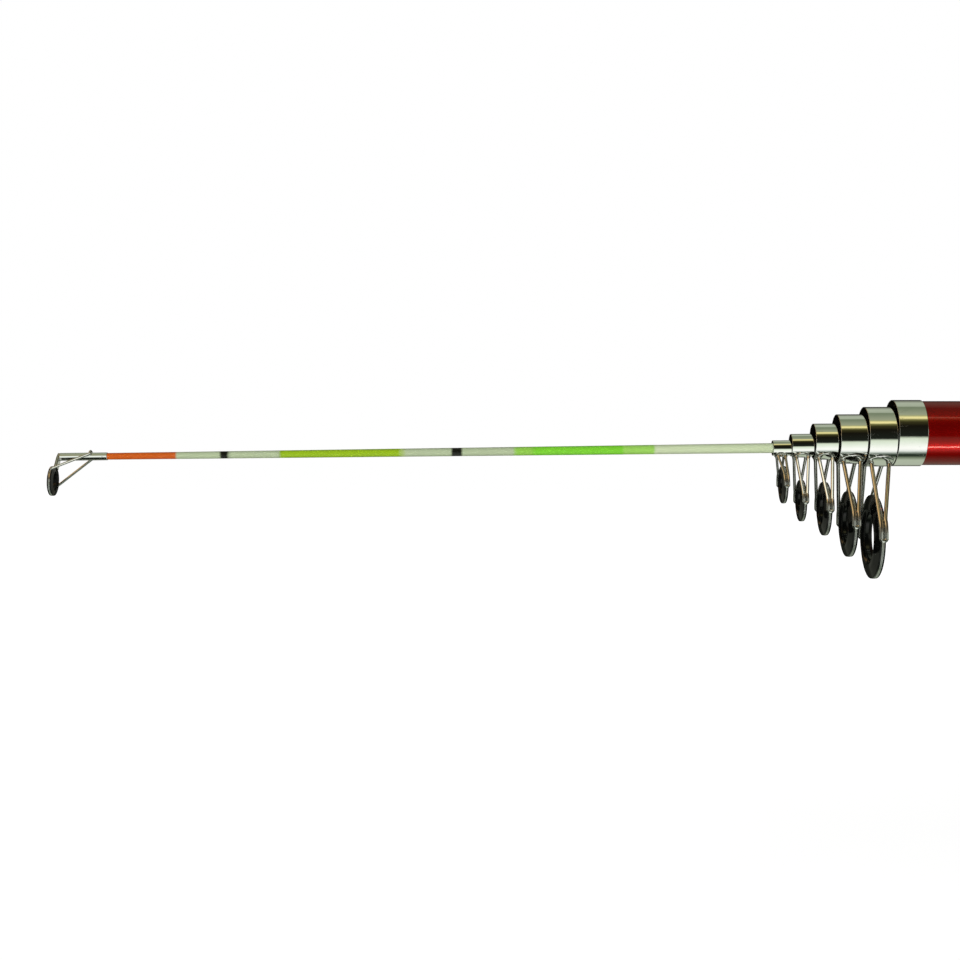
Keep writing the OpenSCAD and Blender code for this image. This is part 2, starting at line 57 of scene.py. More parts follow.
def middle(cloud):  # middle of the box round a cloud of points
    return (cloud.min(0) + cloud.max(0)) / 2


def endRing(name, rear, depth=0.4):  # points of a tube's front or rear end
    cloud = nodePoints(name)
    x = cloud[:, 0]
    return cloud[x > x.max() - depth] if rear else cloud[x < x.min() + depth]


def tubePlace(blank, collar):  # origin at the collar's front rim, X along the tube toward the butt
    along = middle(endRing(blank, True)) - middle(endRing(blank, False))
    return {"at": middle(endRing(collar, False)), "along": along / np.linalg.norm(along)}


def carry(local, place):  # place's origin plus each local coordinate times its own axis, in metres
    along = place["along"]
    up = np.array([-along[2], 0.0, along[0]])
    moved = place["at"] + local[..., 0:1] * along + local[..., 1:2] * np.array([0.0, 1.0, 0.0])
    return (moved + local[..., 2:3] * up) * metre


def inside(name, place):  # a node's points in a tube's own frame, in mm
    along = place["along"]
    off = nodePoints(name) - place["at"]
    return np.stack([off @ along, off[:, 1], off @ np.array([-along[2], 0.0, along[0]])], -1)


def span(name):  # first X, last X and outer radius of a straight piece of the butt
    lo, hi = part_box(name)
    return lo.x / metre, hi.x / metre, (hi.y - lo.y) / 2 / metre


home = {"at": np.zeros(3), "along": np.array([1.0, 0.0, 0.0])}
sectionNames = ["section_2", "section_3", "section_4", "section_5", "section_6"]
places = {name: tubePlace(name + "_blank", name + "_collar") for name in sectionNames}
places["tip"] = places["section_6"]


# building meshes
scene = bpy.context.scene


def addObject(name, data):
    made = bpy.data.objects.new(name, data)
    scene.collection.objects.link(made)
    return made


def gridFaces(rows, cols, closeRows):  # quads between neighbours of a grid that is closed round its columns
    i, j = np.meshgrid(np.arange(rows if closeRows else rows - 1), np.arange(cols), indexing="ij")
    down, right = (i + 1) % rows, (j + 1) % cols
    return np.stack([i * cols + j, i * cols + right, down * cols + right, down * cols + j], -1).reshape(-1, 4)


def capFaces(first, cols, pole, flip):  # fan from a ring of points to its pole
    j = np.arange(cols)
    fan = np.stack([first + j, first + (j + 1) % cols, np.full(cols, pole)], -1)
    return fan[:, ::-1] if flip else fan


def shell(grid, closeRows):  # points, quads and cap triangles of one closed surface
    rows, cols = grid.shape[:2]
    points = grid.reshape(-1, 3)
    quads = gridFaces(rows, cols, closeRows)
    tris = np.empty((0, 3), int)
    if not closeRows:
        points = np.concatenate([points, [grid[0].mean(0), grid[-1].mean(0)]])
        tris = np.concatenate([capFaces(0, cols, rows * cols, True),
                               capFaces((rows - 1) * cols, cols, rows * cols + 1, False)])
    return points, quads, tris


def outward(points, quads, tris):  # turns the faces round where the volume they enclose is negative
    a, b, c, d = (points[quads[:, k]] for k in range(4))
    volume = np.einsum("ij,ij->", a, np.cross(b, c)) + np.einsum("ij,ij->", a, np.cross(c, d))
    e, f, g = (points[tris[:, k]] for k in range(3))
    volume += np.einsum("ij,ij->", e, np.cross(f, g))
    return (quads, tris) if volume > 0 else (quads[:, ::-1], tris[:, ::-1])


def makePiece(node, grids, place, body, materials, pick=None, band=None, closed=True):
    # grids are in the place's frame, closed or capped; pick gives each grid row its material
    name, slot = node + "_look", slotOf[materials[0]]
    points, quads, tris, kinds = [], [], [], []
    total = 0
    for grid in grids:
        p, q, t = shell(grid, closed)
        q, t = outward(p - p.mean(0), q, t)
        points.append(p)
        quads.append(q + total)
        tris.append(t + total)
        rows = np.repeat(np.arange(len(q) // grid.shape[1]), grid.shape[1])
        kinds.append(np.zeros(len(q), int) if pick is None else np.asarray(pick)[rows])
        total += len(p)
    points, quads, tris = np.concatenate(points), np.concatenate(quads), np.concatenate(tris)
    kinds = np.concatenate(kinds + [np.zeros(len(tris), int)])
    sizes = np.concatenate([np.full(len(quads), 4), np.full(len(tris), 3)])
    corners = np.concatenate([quads.ravel(), tris.ravel()])
    mesh = bpy.data.meshes.new(name)
    mesh.vertices.add(len(points))
    mesh.vertices.foreach_set("co", carry(points, place).astype(np.float32).ravel())
    mesh.loops.add(len(corners))
    mesh.loops.foreach_set("vertex_index", corners.astype(np.int32))
    mesh.polygons.add(len(sizes))
    mesh.polygons.foreach_set("loop_start", np.concatenate([[0], np.cumsum(sizes)[:-1]]).astype(np.int32))
    mesh.polygons.foreach_set("material_index", kinds.astype(np.int32))
    mesh.polygons.foreach_set("use_smooth", np.ones(len(sizes), bool))
    for finish in materials:
        mesh.materials.append(finish)
    if band is not None:  # distance along the piece, for painted bands
        values = band(points).astype(np.float32)
        mesh.attributes.new("bandAt", "FLOAT", "POINT").data.foreach_set("value", values)
    mesh.update(calc_edges=True)
    mesh.validate()
    piece = addObject(name, mesh)
    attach(piece, body)
    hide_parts(node)
    return piece


# shapes
rounding = {"most": 0.4, "support": 1.2}  # most of a side that a cut takes, and where the support points lie


def filleted(outline, radius, steps=5):
    # each corner becomes a quadratic arc from a cut on one side to a cut on the other,
    # with a support point beyond each cut that keeps the flats flat
    outline = np.asarray(outline, float)
    before, after = np.roll(outline, 1, 0) - outline, np.roll(outline, -1, 0) - outline
    lenBefore, lenAfter = np.linalg.norm(before, axis=1), np.linalg.norm(after, axis=1)
    limit = rounding["most"] * np.minimum(lenBefore, lenAfter)
    cut = np.minimum(np.broadcast_to(radius, len(outline)), limit)[:, None]
    start, stop = before / lenBefore[:, None], after / lenAfter[:, None]
    s = np.linspace(0, 1, steps)[None, :, None]
    corner = outline[:, None] + cut[:, None] * ((1 - s) ** 2 * start[:, None] + s ** 2 * stop[:, None])
    lead, tail = ((outline + rounding["support"] * cut * way)[:, None] for way in (start, stop))
    return np.concatenate([lead, corner, tail], 1).reshape(-1, 2)


def turned(profile, sides=128):  # each profile point (x, r) goes round X at a steady angle
    angle = np.linspace(0, turn, sides, endpoint=False)
    x, r = np.asarray(profile)[:, 0:1], np.asarray(profile)[:, 1:2]
    return np.stack(np.broadcast_arrays(x, r * np.sin(angle), r * np.cos(angle)), -1)


def polar(x, radius, sides):  # radius(x, angle) round X, with angle 0 straight down
    angle = np.linspace(0, turn, sides, endpoint=False)
    station, angle = np.meshgrid(x, angle, indexing="ij")
    r = radius(station, angle)
    return np.stack([station, r * np.sin(angle), -r * np.cos(angle)], -1)


def smoothPath(knots, perSpan):  # uniform Catmull-Rom curve through the knots
    knots = np.asarray(knots, float)
    padded = np.concatenate([[2 * knots[0] - knots[1]], knots, [2 * knots[-1] - knots[-2]]])
    p0, p1, p2, p3 = padded[:-3, None], padded[1:-2, None], padded[2:-1, None], padded[3:, None]
    s = np.linspace(0, 1, perSpan, endpoint=False)[None, :, None]
    curve = (p1 + 0.5 * s * (p2 - p0) + s ** 2 * (p0 - 2.5 * p1 + 2 * p2 - 0.5 * p3)
             + s ** 3 * (1.5 * (p1 - p2) + 0.5 * (p3 - p0)))
    return np.concatenate([curve.reshape(-1, 3), knots[-1:]])


def sweptWire(path, radius, across, sides=14, flat=1.0):
    # a ring about each path point, on two axes square to the path; flat squeezes the one along across
    ahead = np.gradient(path, axis=0)
    ahead /= np.linalg.norm(ahead, axis=1)[:, None]
    side = np.cross(ahead, across)
    side /= np.linalg.norm(side, axis=1)[:, None]
    thick = np.cross(ahead, side)
    angle = np.linspace(0, turn, sides, endpoint=False)[None, :, None]
    r = np.broadcast_to(radius, len(path))[:, None, None]
    return path[:, None] + r * (side[:, None] * np.cos(angle) + flat * thick[:, None] * np.sin(angle))


def ease(t):  # smooth step from 0 to 1
    t = np.clip(t, 0, 1)
    return t * t * (3 - 2 * t)


# shader groups
def addNode(tree, kind, inputs=None, **settings):
    made = tree.nodes.new("ShaderNode" + kind)
    for key, value in settings.items():
        setattr(made, key, value)
    for key, value in (inputs or {}).items():
        if isinstance(value, bpy.types.NodeSocket):
            tree.links.new(value, made.inputs[key])
        else:
            made.inputs[key].default_value = value
    return made


def calculate(tree, operation, first, second):
    return addNode(tree, "Math", {0: first, 1: second}, operation=operation).outputs[0]


def mapRange(tree, value, start, stop, low=0.0, high=1.0):  # start to stop becomes low to high
    return addNode(tree, "MapRange", {"Value": value, "From Min": start, "From Max": stop,
                                      "To Min": low, "To Max": high}).outputs[0]


def scaledVector(tree, vector, scale):
    return addNode(tree, "VectorMath", {0: vector, 1: scale}, operation="MULTIPLY").outputs[0]


def noise(tree, vector, scale, **numbers):
    return addNode(tree, "TexNoise", {"Vector": vector, "Scale": scale, **numbers}).outputs[0]


def newGroup(name, numbers, outputs):
    tree = bpy.data.node_groups.new(name, "ShaderNodeTree")
    tree.interface.new_socket("Vector", in_out="INPUT", socket_type="NodeSocketVector")
    for label, value in numbers.items():
        tree.interface.new_socket(label, in_out="INPUT", socket_type="NodeSocketFloat").default_value = value
    for label in outputs:
        tree.interface.new_socket(label, in_out="OUTPUT", socket_type="NodeSocketFloat")
    return tree, tree.nodes.new("NodeGroupInput").outputs, tree.nodes.new("NodeGroupOutput").inputs


def mottleGroup():  # slow drift between two values
    tree, given, out = newGroup("mottle", {"Scale": 60.0, "Low": 0.9, "High": 1.1}, ["Value"])
    level = noise(tree, given["Vector"], given["Scale"], Detail=4.0, Roughness=0.55)
    tree.links.new(mapRange(tree, level, 0.3, 0.7, given["Low"], given["High"]), out["Value"])
    return tree


def scuffGroup():  # fine rubbed lines in patches
    tree, given, out = newGroup("scuffs", {"Scale": 900.0, "Patch": 130.0, "Amount": 1.0}, ["Mask"])
    stretched = scaledVector(tree, given["Vector"], (0.14, 1.0, 1.0))
    lines = noise(tree, stretched, given["Scale"], Detail=5.0, Roughness=0.7, Distortion=0.6)
    patch = noise(tree, given["Vector"], given["Patch"], Detail=2.0)
    both = calculate(tree, "MULTIPLY", mapRange(tree, lines, 0.57, 0.7), mapRange(tree, patch, 0.48, 0.66))
    tree.links.new(calculate(tree, "MULTIPLY", both, given["Amount"]), out["Mask"])
    return tree


def poreGroup():  # small open cells
    tree, given, out = newGroup("pores", {"Scale": 1500.0}, ["Height", "Mask"])
    cells = addNode(tree, "TexVoronoi", {"Vector": given["Vector"], "Scale": given["Scale"],
                                         "Randomness": 1.0}).outputs["Distance"]
    tree.links.new(mapRange(tree, cells, 0.1, 0.6), out["Height"])
    tree.links.new(mapRange(tree, cells, 0.3, 0.05), out["Mask"])
    return tree


def latheGroup():  # fine tool lines round X
    tree, given, out = newGroup("latheLines", {"Scale": 5000.0}, ["Height"])
    squeezed = scaledVector(tree, given["Vector"], (1.0, 0.02, 0.02))
    tree.links.new(noise(tree, squeezed, given["Scale"], Detail=3.0), out["Height"])
    return tree


groups = {"mottle": mottleGroup(), "scuffs": scuffGroup(), "pores": poreGroup(), "latheLines": latheGroup()}
print("shader groups ready")


# materials
def newMaterial(name, **sockets):  # Principled material with plain values on its own sockets
    made = bpy.data.materials.new(name)
    made.use_nodes = True
    tree = made.node_tree
    shader = tree.nodes["Principled BSDF"]
    for label, value in sockets.items():
        shader.inputs[label.replace("_", " ")].default_value = value
    return made, tree, shader, addNode(tree, "TexCoord").outputs["Object"]


def groupNode(tree, name, spot, **numbers):  # outputs of a shader group
    return addNode(tree, "Group", {"Vector": spot, **numbers}, node_tree=groups[name]).outputs


def drift(tree, spot, scale):  # slow change between 0 and 1
    return groupNode(tree, "mottle", spot, Scale=scale, Low=0.0, High=1.0)[0]


def mixColours(tree, mask, first, second):
    ends = [end if isinstance(end, bpy.types.NodeSocket) else (*end, 1.0) for end in (first, second)]
    return addNode(tree, "Mix", {0: mask, 6: ends[0], 7: ends[1]}, data_type="RGBA").outputs[2]


def colourRamp(tree, value, stops):
    ramp = addNode(tree, "ValToRGB", {"Fac": value})
    made = ramp.color_ramp.elements
    made.remove(made[1])  # a new ramp has two stops, and the one kept becomes the first
    for k, (place, colour) in enumerate(stops):
        stop = made[0] if k == 0 else made.new(place)
        stop.position, stop.color = place, (*colour, 1.0)
    return ramp.outputs[0]


def paint(tree, shader, mask, first, second):  # base colour between two colours
    tree.links.new(mixColours(tree, mask, first, second), shader.inputs["Base Color"])


def roughen(tree, shader, mask, low, high):
    tree.links.new(mapRange(tree, mask, 0.0, 1.0, low, high), shader.inputs["Roughness"])


def bump(tree, shader, height, strength, distance):
    made = addNode(tree, "Bump", {"Height": height, "Strength": strength, "Distance": distance * metre})
    tree.links.new(made.outputs[0], shader.inputs["Normal"])


def driftFinish(name, scale, first, second, rough, grain=None, dent=None, **sockets):
    # slow drift between two colours and two roughnesses; dents follow the drift, or a finer grain
    made, tree, shader, spot = newMaterial(name, **sockets)
    cloud = drift(tree, spot, scale)
    paint(tree, shader, cloud, first, second)
    roughen(tree, shader, cloud, *rough)
    if dent:
        bump(tree, shader, groupNode(tree, "pores", spot, Scale=grain)["Height"] if grain else cloud, *dent)
    return made


def chromeFinish():
    made, tree, shader, spot = newMaterial("chrome", Metallic=1.0)
    scuffs = groupNode(tree, "scuffs", spot, Scale=1500.0, Patch=160.0, Amount=1.0)[0]
    cloud = drift(tree, spot, 240.0)
    tint = mixColours(tree, cloud, (0.90, 0.91, 0.89), (0.95, 0.955, 0.94))
    paint(tree, shader, scuffs, tint, (0.80, 0.81, 0.80))
    roughen(tree, shader, scuffs, 0.045, 0.42)
    bump(tree, shader, cloud, 0.12, 0.05)
    return made


def lacquerFinish():
    made, tree, shader, spot = newMaterial("lacquer", Metallic=0.6, Coat_Weight=0.4, Coat_Roughness=0.03,
                                           Specular_IOR_Level=0.0)
    cloud = drift(tree, spot, 90.0)
    flake = groupNode(tree, "pores", spot, Scale=5200.0)["Mask"]
    scuffs = groupNode(tree, "scuffs", spot, Scale=900.0, Patch=120.0, Amount=0.6)[0]
    deep = mixColours(tree, cloud, (0.206, 0.0016, 0.0011), (0.262, 0.0025, 0.0016))
    paint(tree, shader, flake, deep, (0.275, 0.003, 0.002))
    roughen(tree, shader, scuffs, 0.34, 0.5)
    bump(tree, shader, cloud, 0.012, 0.1)
    return made


def cutFinish():  # bare end of a glass tube
    made, tree, shader, spot = newMaterial("cutEnd")
    grain = groupNode(tree, "pores", spot, Scale=2600.0)
    paint(tree, shader, grain["Mask"], (0.012, 0.011, 0.009), (0.03, 0.028, 0.022))
    roughen(tree, shader, grain["Height"], 0.55, 0.8)
    return made


bandWhite, bandBlack = (0.47, 0.56, 0.35), (0.006, 0.007, 0.004)
tipBands = {
    "run": 208.3,  # drawn length from the top tube to section 6's rim
    "soft": 0.25,  # half width of a painted edge
    "list": [  # start of each band behind the top tube, and its colour
        (0.0, (0.62, 0.112, 0.008)), (21.7, bandWhite), (35.3, bandBlack), (38.1, bandWhite),
        (53.9, (0.12, 0.16, 0.02)), (54.3, (0.325, 0.525, 0.014)), (91.9, (0.44, 0.56, 0.22)),
        (93.1, bandWhite), (107.8, bandBlack), (111.1, bandWhite), (127.6, (0.30, 0.62, 0.082)),
        (133.4, (0.215, 0.665, 0.036)), (161.3, (0.34, 0.66, 0.115)), (171.3, (0.60, 0.70, 0.44)),
    ],
}


def tipFinish():
    made, tree, shader, spot = newMaterial(
        "tipGlass", Coat_Weight=0.2, Specular_IOR_Level=0.25, Coat_Roughness=0.08, Subsurface_Weight=0.1,
        Subsurface_Radius=(1.0, 1.0, 0.7), Subsurface_Scale=0.0006)
    run, soft, bands = tipBands["run"], tipBands["soft"], tipBands["list"]
    wobble = groupNode(tree, "mottle", spot, Scale=900.0, Low=-0.12, High=0.12)[0]
    at = calculate(tree, "ADD", addNode(tree, "Attribute", attribute_name="bandAt").outputs["Fac"], wobble)
    stops = [(0.0, bands[0][1])]
    for (_, old), (edge, new) in zip(bands, bands[1:]):
        stops += [((edge - soft) / run, old), ((edge + soft) / run, new)]
    painted = colourRamp(tree, mapRange(tree, at, 0.0, run), stops)
    fibre = groupNode(tree, "scuffs", spot, Scale=1500.0, Patch=60.0, Amount=0.1)[0]
    paint(tree, shader, fibre, painted, (0.62, 0.68, 0.5))
    roughen(tree, shader, fibre, 0.3, 0.5)
    return made


def foamFinish():
    made, tree, shader, spot = newMaterial("foam", Sheen_Weight=0.2, Sheen_Roughness=0.5)
    cells = groupNode(tree, "pores", spot, Scale=1700.0)
    cloud = drift(tree, spot, 70.0)
    base = mixColours(tree, cloud, (0.016, 0.016, 0.017), (0.028, 0.028, 0.029))
    paint(tree, shader, cells["Mask"], base, (0.008, 0.008, 0.008))
    roughen(tree, shader, cloud, 0.75, 0.92)
    bump(tree, shader, cells["Height"], 0.5, 0.12)
    return made


def turnedMetal(name, first, second):
    made, tree, shader, spot = newMaterial(name, Metallic=1.0)
    lines = groupNode(tree, "latheLines", spot, Scale=5200.0)[0]
    scuffs = groupNode(tree, "scuffs", spot, Scale=1200.0, Patch=160.0, Amount=0.7)[0]
    paint(tree, shader, scuffs, mixColours(tree, lines, first, second), second)
    roughen(tree, shader, scuffs, 0.22, 0.42)
    bump(tree, shader, lines, 0.18, 0.03)
    return made


def feltFinish():
    made, tree, shader, spot = newMaterial("felt", Roughness=0.95, Sheen_Weight=0.5)
    hair = groupNode(tree, "scuffs", spot, Scale=2200.0, Patch=900.0, Amount=1.0)[0]
    cloud = drift(tree, spot, 700.0)
    base = mixColours(tree, cloud, (0.055, 0.052, 0.045), (0.10, 0.095, 0.085))
    paint(tree, shader, hair, base, (0.2, 0.19, 0.17))
    bump(tree, shader, cloud, 0.6, 0.2)
    return made


chrome, lacquer, cutEnd = chromeFinish(), lacquerFinish(), cutFinish()
tipGlass, foam, felt = tipFinish(), foamFinish(), feltFinish()
wire = driftFinish("wire", 180.0, (0.82, 0.83, 0.81), (0.90, 0.905, 0.89), (0.06, 0.12), Metallic=1.0)
# painted shade: the chrome inside each collar's open mouth and inside the top tube's bore is coloured near
# black for the shade that fills these recesses
paintedShadeInside = driftFinish("collarInsidePaintedShade", 400.0, (0.006, 0.006, 0.005), (0.016, 0.015, 0.012), (0.45, 0.65),
                     Metallic=0.6)
ceramic = driftFinish("ceramic", 500.0, (0.002, 0.0022, 0.002), (0.006, 0.0065, 0.006), (0.05, 0.12),
                      dent=(0.08, 0.05), Specular_IOR_Level=0.3)
moulding = driftFinish("moulding", 120.0, (0.014, 0.0145, 0.0155), (0.022, 0.0225, 0.024), (0.36, 0.5),
                       3200.0, (0.15, 0.04))
rubber = driftFinish("rubber", 150.0, (0.012, 0.012, 0.0125), (0.022, 0.022, 0.0225), (0.6, 0.8),
                     2400.0, (0.25, 0.05))
alloy = turnedMetal("alloy", (0.52, 0.53, 0.54), (0.68, 0.69, 0.70))
brass = turnedMetal("brass", (0.58, 0.43, 0.17), (0.72, 0.56, 0.27))
slotOf = {  # slot name for each piece's main material
    chrome: "chrome", wire: "chrome", lacquer: "lacquer", ceramic: "ceramic", tipGlass: "tip_glass",
    foam: "foam", moulding: "moulding", alloy: "alloy", brass: "brass", rubber: "rubber", felt: "felt",
}
print("materials ready")

# collars and blanks
collarSizes = {
    "rim": [0.2, 0.25, 0.25, 0.25, 0.2, 0.16],  # lip of each collar, from the butt to section 6
    "recess": 2.0,  # depth of the open mouth
    "glue": 0.02,
    "cuts": [0.05, 0.12, 0.12, 0.02, 0.02, 0.1],  # rounding, from the lip's inside round to the recess
}
blankSizes = {
    "jam": 45.0,  # length of the cones that wedge two tubes
    "flare": [0.2, 0.4, 0.4, 0.3, 0.25, 0.12],  # extra bore behind each cone, from the butt to section 6
    "cut": 0.08,
}


def collarPiece(name, place, body, tubeR, rim):
    cloud = inside(name, place)
    length, outer = cloud[:, 0].max(), np.ptp(cloud[:, 1]) / 2
    bore, inner, recess = tubeR + collarSizes["glue"], outer - rim, collarSizes["recess"]
    corners = [[0, inner], [0, outer], [length, outer], [length, bore], [recess, bore], [recess, inner]]
    profile = filleted(corners, collarSizes["cuts"])
    perCorner = len(profile) // len(corners)
    row = np.arange(len(profile))
    # rows inside the open mouth get the near-black inside finish, which is painted shade
    paintedShadeRows = (row >= 5 * perCorner - 1) | (row < 2)  # inside of the open rim
    makePiece(name, [turned(profile, 192)], place, body, [chrome, paintedShadeInside], paintedShadeRows)


def tubeEnds(name, place, depth=0.3):  # front bore and radius, first and last X, rear radius
    cloud = inside(name, place)
    x, r = cloud[:, 0], np.hypot(cloud[:, 1], cloud[:, 2])
    front = r[x < x.min() + depth]
    return front.min(), front.max(), x.min(), x.max(), r[x > x.max() - depth].max()


def tubePiece(name, place, body, corners, last, sides):
    # lacquered from the second corner to the one numbered last; the ends and the bore are bare
    profile = filleted(corners, blankSizes["cut"], 3)
    perCorner = len(profile) // len(corners)
    row = np.arange(len(profile))
    bare = (row < perCorner + 1) | (row >= last * perCorner + 2)
    lacquered.objects.link(makePiece(name, [turned(profile, sides)], place, body, [lacquer, cutEnd], bare))


lacquered = bpy.data.collections.new("lacquered")  # pieces that show the line lamps
for k, name in enumerate(sectionNames):
    place = places[name]
    mouth, outer, front, rear, base = tubeEnds(name + "_blank", place)
    wide = mouth + blankSizes["flare"][k + 1]
    shoulder = inside(name + "_collar", place)[:, 0].max()
    tubePiece(name + "_blank", place, name, [
        [front, mouth], [front, outer], [shoulder, outer],
        [rear - blankSizes["jam"], base - blankSizes["flare"][k]], [rear, base],
        [rear, wide], [front + blankSizes["jam"], wide]], 4, 128)
    collarPiece(name + "_collar", place, name, outer, collarSizes["rim"][k + 1])
print("sections ready")

# guides, with lists from section 2 to section 6
guides = {
    "wire": [1.3, 1.25, 1.1, 0.95, 0.8],
    "footY": [4.2, 3.5, 2.6, 1.9, 1.3],
    "footInset": 0.5,
    "footSink": 0.15,  # middle of a foot below the saddle's face
    "gap": 0.4,  # between the two legs of a hairpin
    "glue": 0.02,
    "solder": 0.35,  # extra share of the wire's radius at a foot
    "solderRun": 1.6,
    "pale": ["section_4", "section_5"],  # these show the pale lamp
    "lapSteps": 5,
    "bendSteps": 9,
    "legSteps": 4,
}
saddles = {
    "thick": 0.4,
    "half": [7.1, 5.9, 4.3, 2.9, 2.05],
    "round": 0.2,
    "edge": 0.12,  # length of a thinned end
    "thin": 0.4,  # share of the thickness left there
    "least": 0.05,  # least reach, squared, as a share of the half width squared
    "most": 0.98,  # most reach, as a share of the radius
}
rings = {
    "wall": [0.75, 0.7, 0.65, 0.55, 0.5],
    "band": 0.5,  # bare share of a ring's width
    "bead": 0.1,
    "beadCuts": [0.05, 0.06, 0.1, 0.05, 0.1, 0.06, 0.05],
    "lip": 0.08,  # how far the ceramic stays inside the band
    "nose": 0.17,  # where the ceramic is fullest, from the hole to its bed
    "crest": 0.42,  # where it falls away
    "mouth": 0.5,  # share of the fullest half width at the hole
    "fall": 0.92,  # and at the crest
    "fullCuts": [0.35, 0.6, 0.7],  # rounding of the hole, nose and crest, as shares of the same
    "thinCuts": [0.2, 0.05, 0.02],  # rounding of the rim and groove
}


def ringProfile(r, wall, width):  # bare metal band with two round beads and a groove between them
    band, low = width * rings["band"], r - rings["bead"]
    outline = [[-band / 2, r - wall], [-band / 2, low], [-band / 4, r], [0, low], [band / 4, r],
               [band / 2, low], [band / 2, r - wall]]
    return filleted(outline, rings["beadCuts"])


def insertProfile(hole, r, wall, half, proud):
    # ceramic section: fullest just outside the hole, thin lips at its rim, and a groove for the metal band
    rim, bed, groove = r - rings["lip"], r - wall - guides["glue"], half * rings["band"] + guides["glue"]
    full, nose, crest = half + proud, *(hole + rings[key] * (bed - hole) for key in ("nose", "crest"))
    side = [[full * rings["mouth"], hole], [full, nose], [full * rings["fall"], crest], [half, rim],
            [groove, rim], [groove, bed]]
    outline = [[-x, radius] for x, radius in side] + side[::-1]
    cuts = [share * full for share in rings["fullCuts"]] + rings["thinCuts"]
    return filleted(outline, cuts + cuts[::-1], 8)


def saddlePiece(name, place, body, collarR, half):
    # strip round the collar's underside: seen from below, it reaches as far as a circle of radius half
    x = inside(name, place)[:, 0]
    x0, x1, edge = x.min(), x.max(), saddles["edge"]
    inner, outer = collarR + guides["glue"], collarR + saddles["thick"]
    section = filleted([[-1, inner], [1, inner], [1, outer], [-1, outer]], saddles["round"])  # reach, radius
    fine = np.concatenate([np.linspace(a, b, 24, endpoint=False) for a, b in
                           zip(section, np.roll(section, -1, 0))])
    stations = np.concatenate([[x0 + edge / 3], np.linspace(x0 + edge, x1 - edge, 40), [x1 - edge / 3]])
    reach = np.sqrt(np.maximum(half ** 2 - (stations - (x0 + x1) / 2) ** 2, saddles["least"] * half ** 2))
    angle = np.arcsin(np.minimum(reach / outer, saddles["most"]))[:, None] * fine[:, 0]
    thin = np.ones((len(stations), 1))
    thin[[0, -1]] = saddles["thin"]
    mid = (inner + outer) / 2
    r = mid + (fine[:, 1] - mid) * thin
    grid = np.stack([np.broadcast_to(stations[:, None], r.shape), r * np.sin(angle), -r * np.cos(angle)], -1)
    makePiece(name, [grid], place, body, [chrome], closed=False)


def hairpin(k, centre, ringR, seatR, x0, x1):
    # foot on the saddle, straight to where it touches the ring's rim, along the rim to the ring's
    # widest point, round a half turn, and back up to the other foot
    d, footY = guides["wire"][k], guides["footY"][k]
    lap = ringR + d / 2 + guides["glue"]
    half = (d + guides["gap"]) / 2
    foot = np.array([footY, -math.sqrt((seatR - guides["footSink"]) ** 2 - footY ** 2)])
    up = foot - centre[1:]
    touch = math.atan2(up[0], up[1]) + math.acos(lap / np.hypot(*up))
    angle = np.linspace(touch, math.pi / 2, guides["lapSteps"])
    rim = centre + lap * np.stack([np.zeros_like(angle), np.sin(angle), np.cos(angle)], -1)
    bend = np.linspace(0, math.pi, guides["bendSteps"])[1:-1]
    bent = np.stack([np.cos(bend), np.zeros_like(bend), np.sin(bend)], -1)
    loop = centre + np.array([0, lap, 0]) - half * bent
    aside = np.array([half, 0, 0])
    inset = guides["footInset"] + d / 2
    first, last = (np.array([x, *foot]) for x in (x0 + inset, x1 - inset))
    share = np.linspace(0, 1, guides["legSteps"], endpoint=False)[:, None]
    down = first + (rim[0] - aside - first) * share
    back = last + (rim[0] + aside - last) * share
    return np.concatenate([down, rim - aside, loop, (rim + aside)[::-1], back[::-1]])


def legsPiece(name, place, body, k, knots):
    path = smoothPath(knots, 6)
    walked = np.concatenate([[0], np.cumsum(np.linalg.norm(np.diff(path, axis=0), axis=1))])
    fromFoot = np.minimum(walked, walked[-1] - walked)
    radius = guides["wire"][k] / 2 * (1 + guides["solder"] * (1 - ease(fromFoot / guides["solderRun"])))
    near = sweptWire(path, radius, np.array([0.0, 1.0, 0.0]), 16)
    far = near * np.array([1.0, -1.0, 1.0])
    return makePiece(name, [near, far], place, body, [wire], closed=False)


paleLegs = bpy.data.collections.new("paleLegs")  # legs that show the pale lamp
for k, name in enumerate(sectionNames):
    place, wall = places[name], rings["wall"][k]
    collarR = np.ptp(inside(name + "_collar", place)[:, 1]) / 2
    saddleX = inside(name + "_saddle", place)[:, 0]
    ringCloud, insertCloud = inside(name + "_ring", place), inside(name + "_insert", place)
    centre = middle(ringCloud)
    ringR, ringW = np.ptp(ringCloud[:, 1]) / 2, np.ptp(ringCloud[:, 0])
    hole = np.hypot(insertCloud[:, 1], insertCloud[:, 2] - centre[2]).min()
    proud = (np.ptp(insertCloud[:, 0]) - ringW) / 2
    shift = np.array([centre[0], 0, centre[2]])
    saddlePiece(name + "_saddle", place, name, collarR, saddles["half"][k])
    knots = hairpin(k, centre, ringR, collarR + saddles["thick"], saddleX.min(), saddleX.max())
    legs = legsPiece(name + "_legs", place, name, k, knots)
    if name in guides["pale"]:
        paleLegs.objects.link(legs)
    ring = turned(ringProfile(ringR, wall, ringW), 160) + shift
    makePiece(name + "_ring", [ring], place, name, [chrome])
    insert = turned(insertProfile(hole, ringR, wall, ringW / 2, proud), 160) + shift
    makePiece(name + "_insert", [insert], place, name, [ceramic])
print("guides ready")

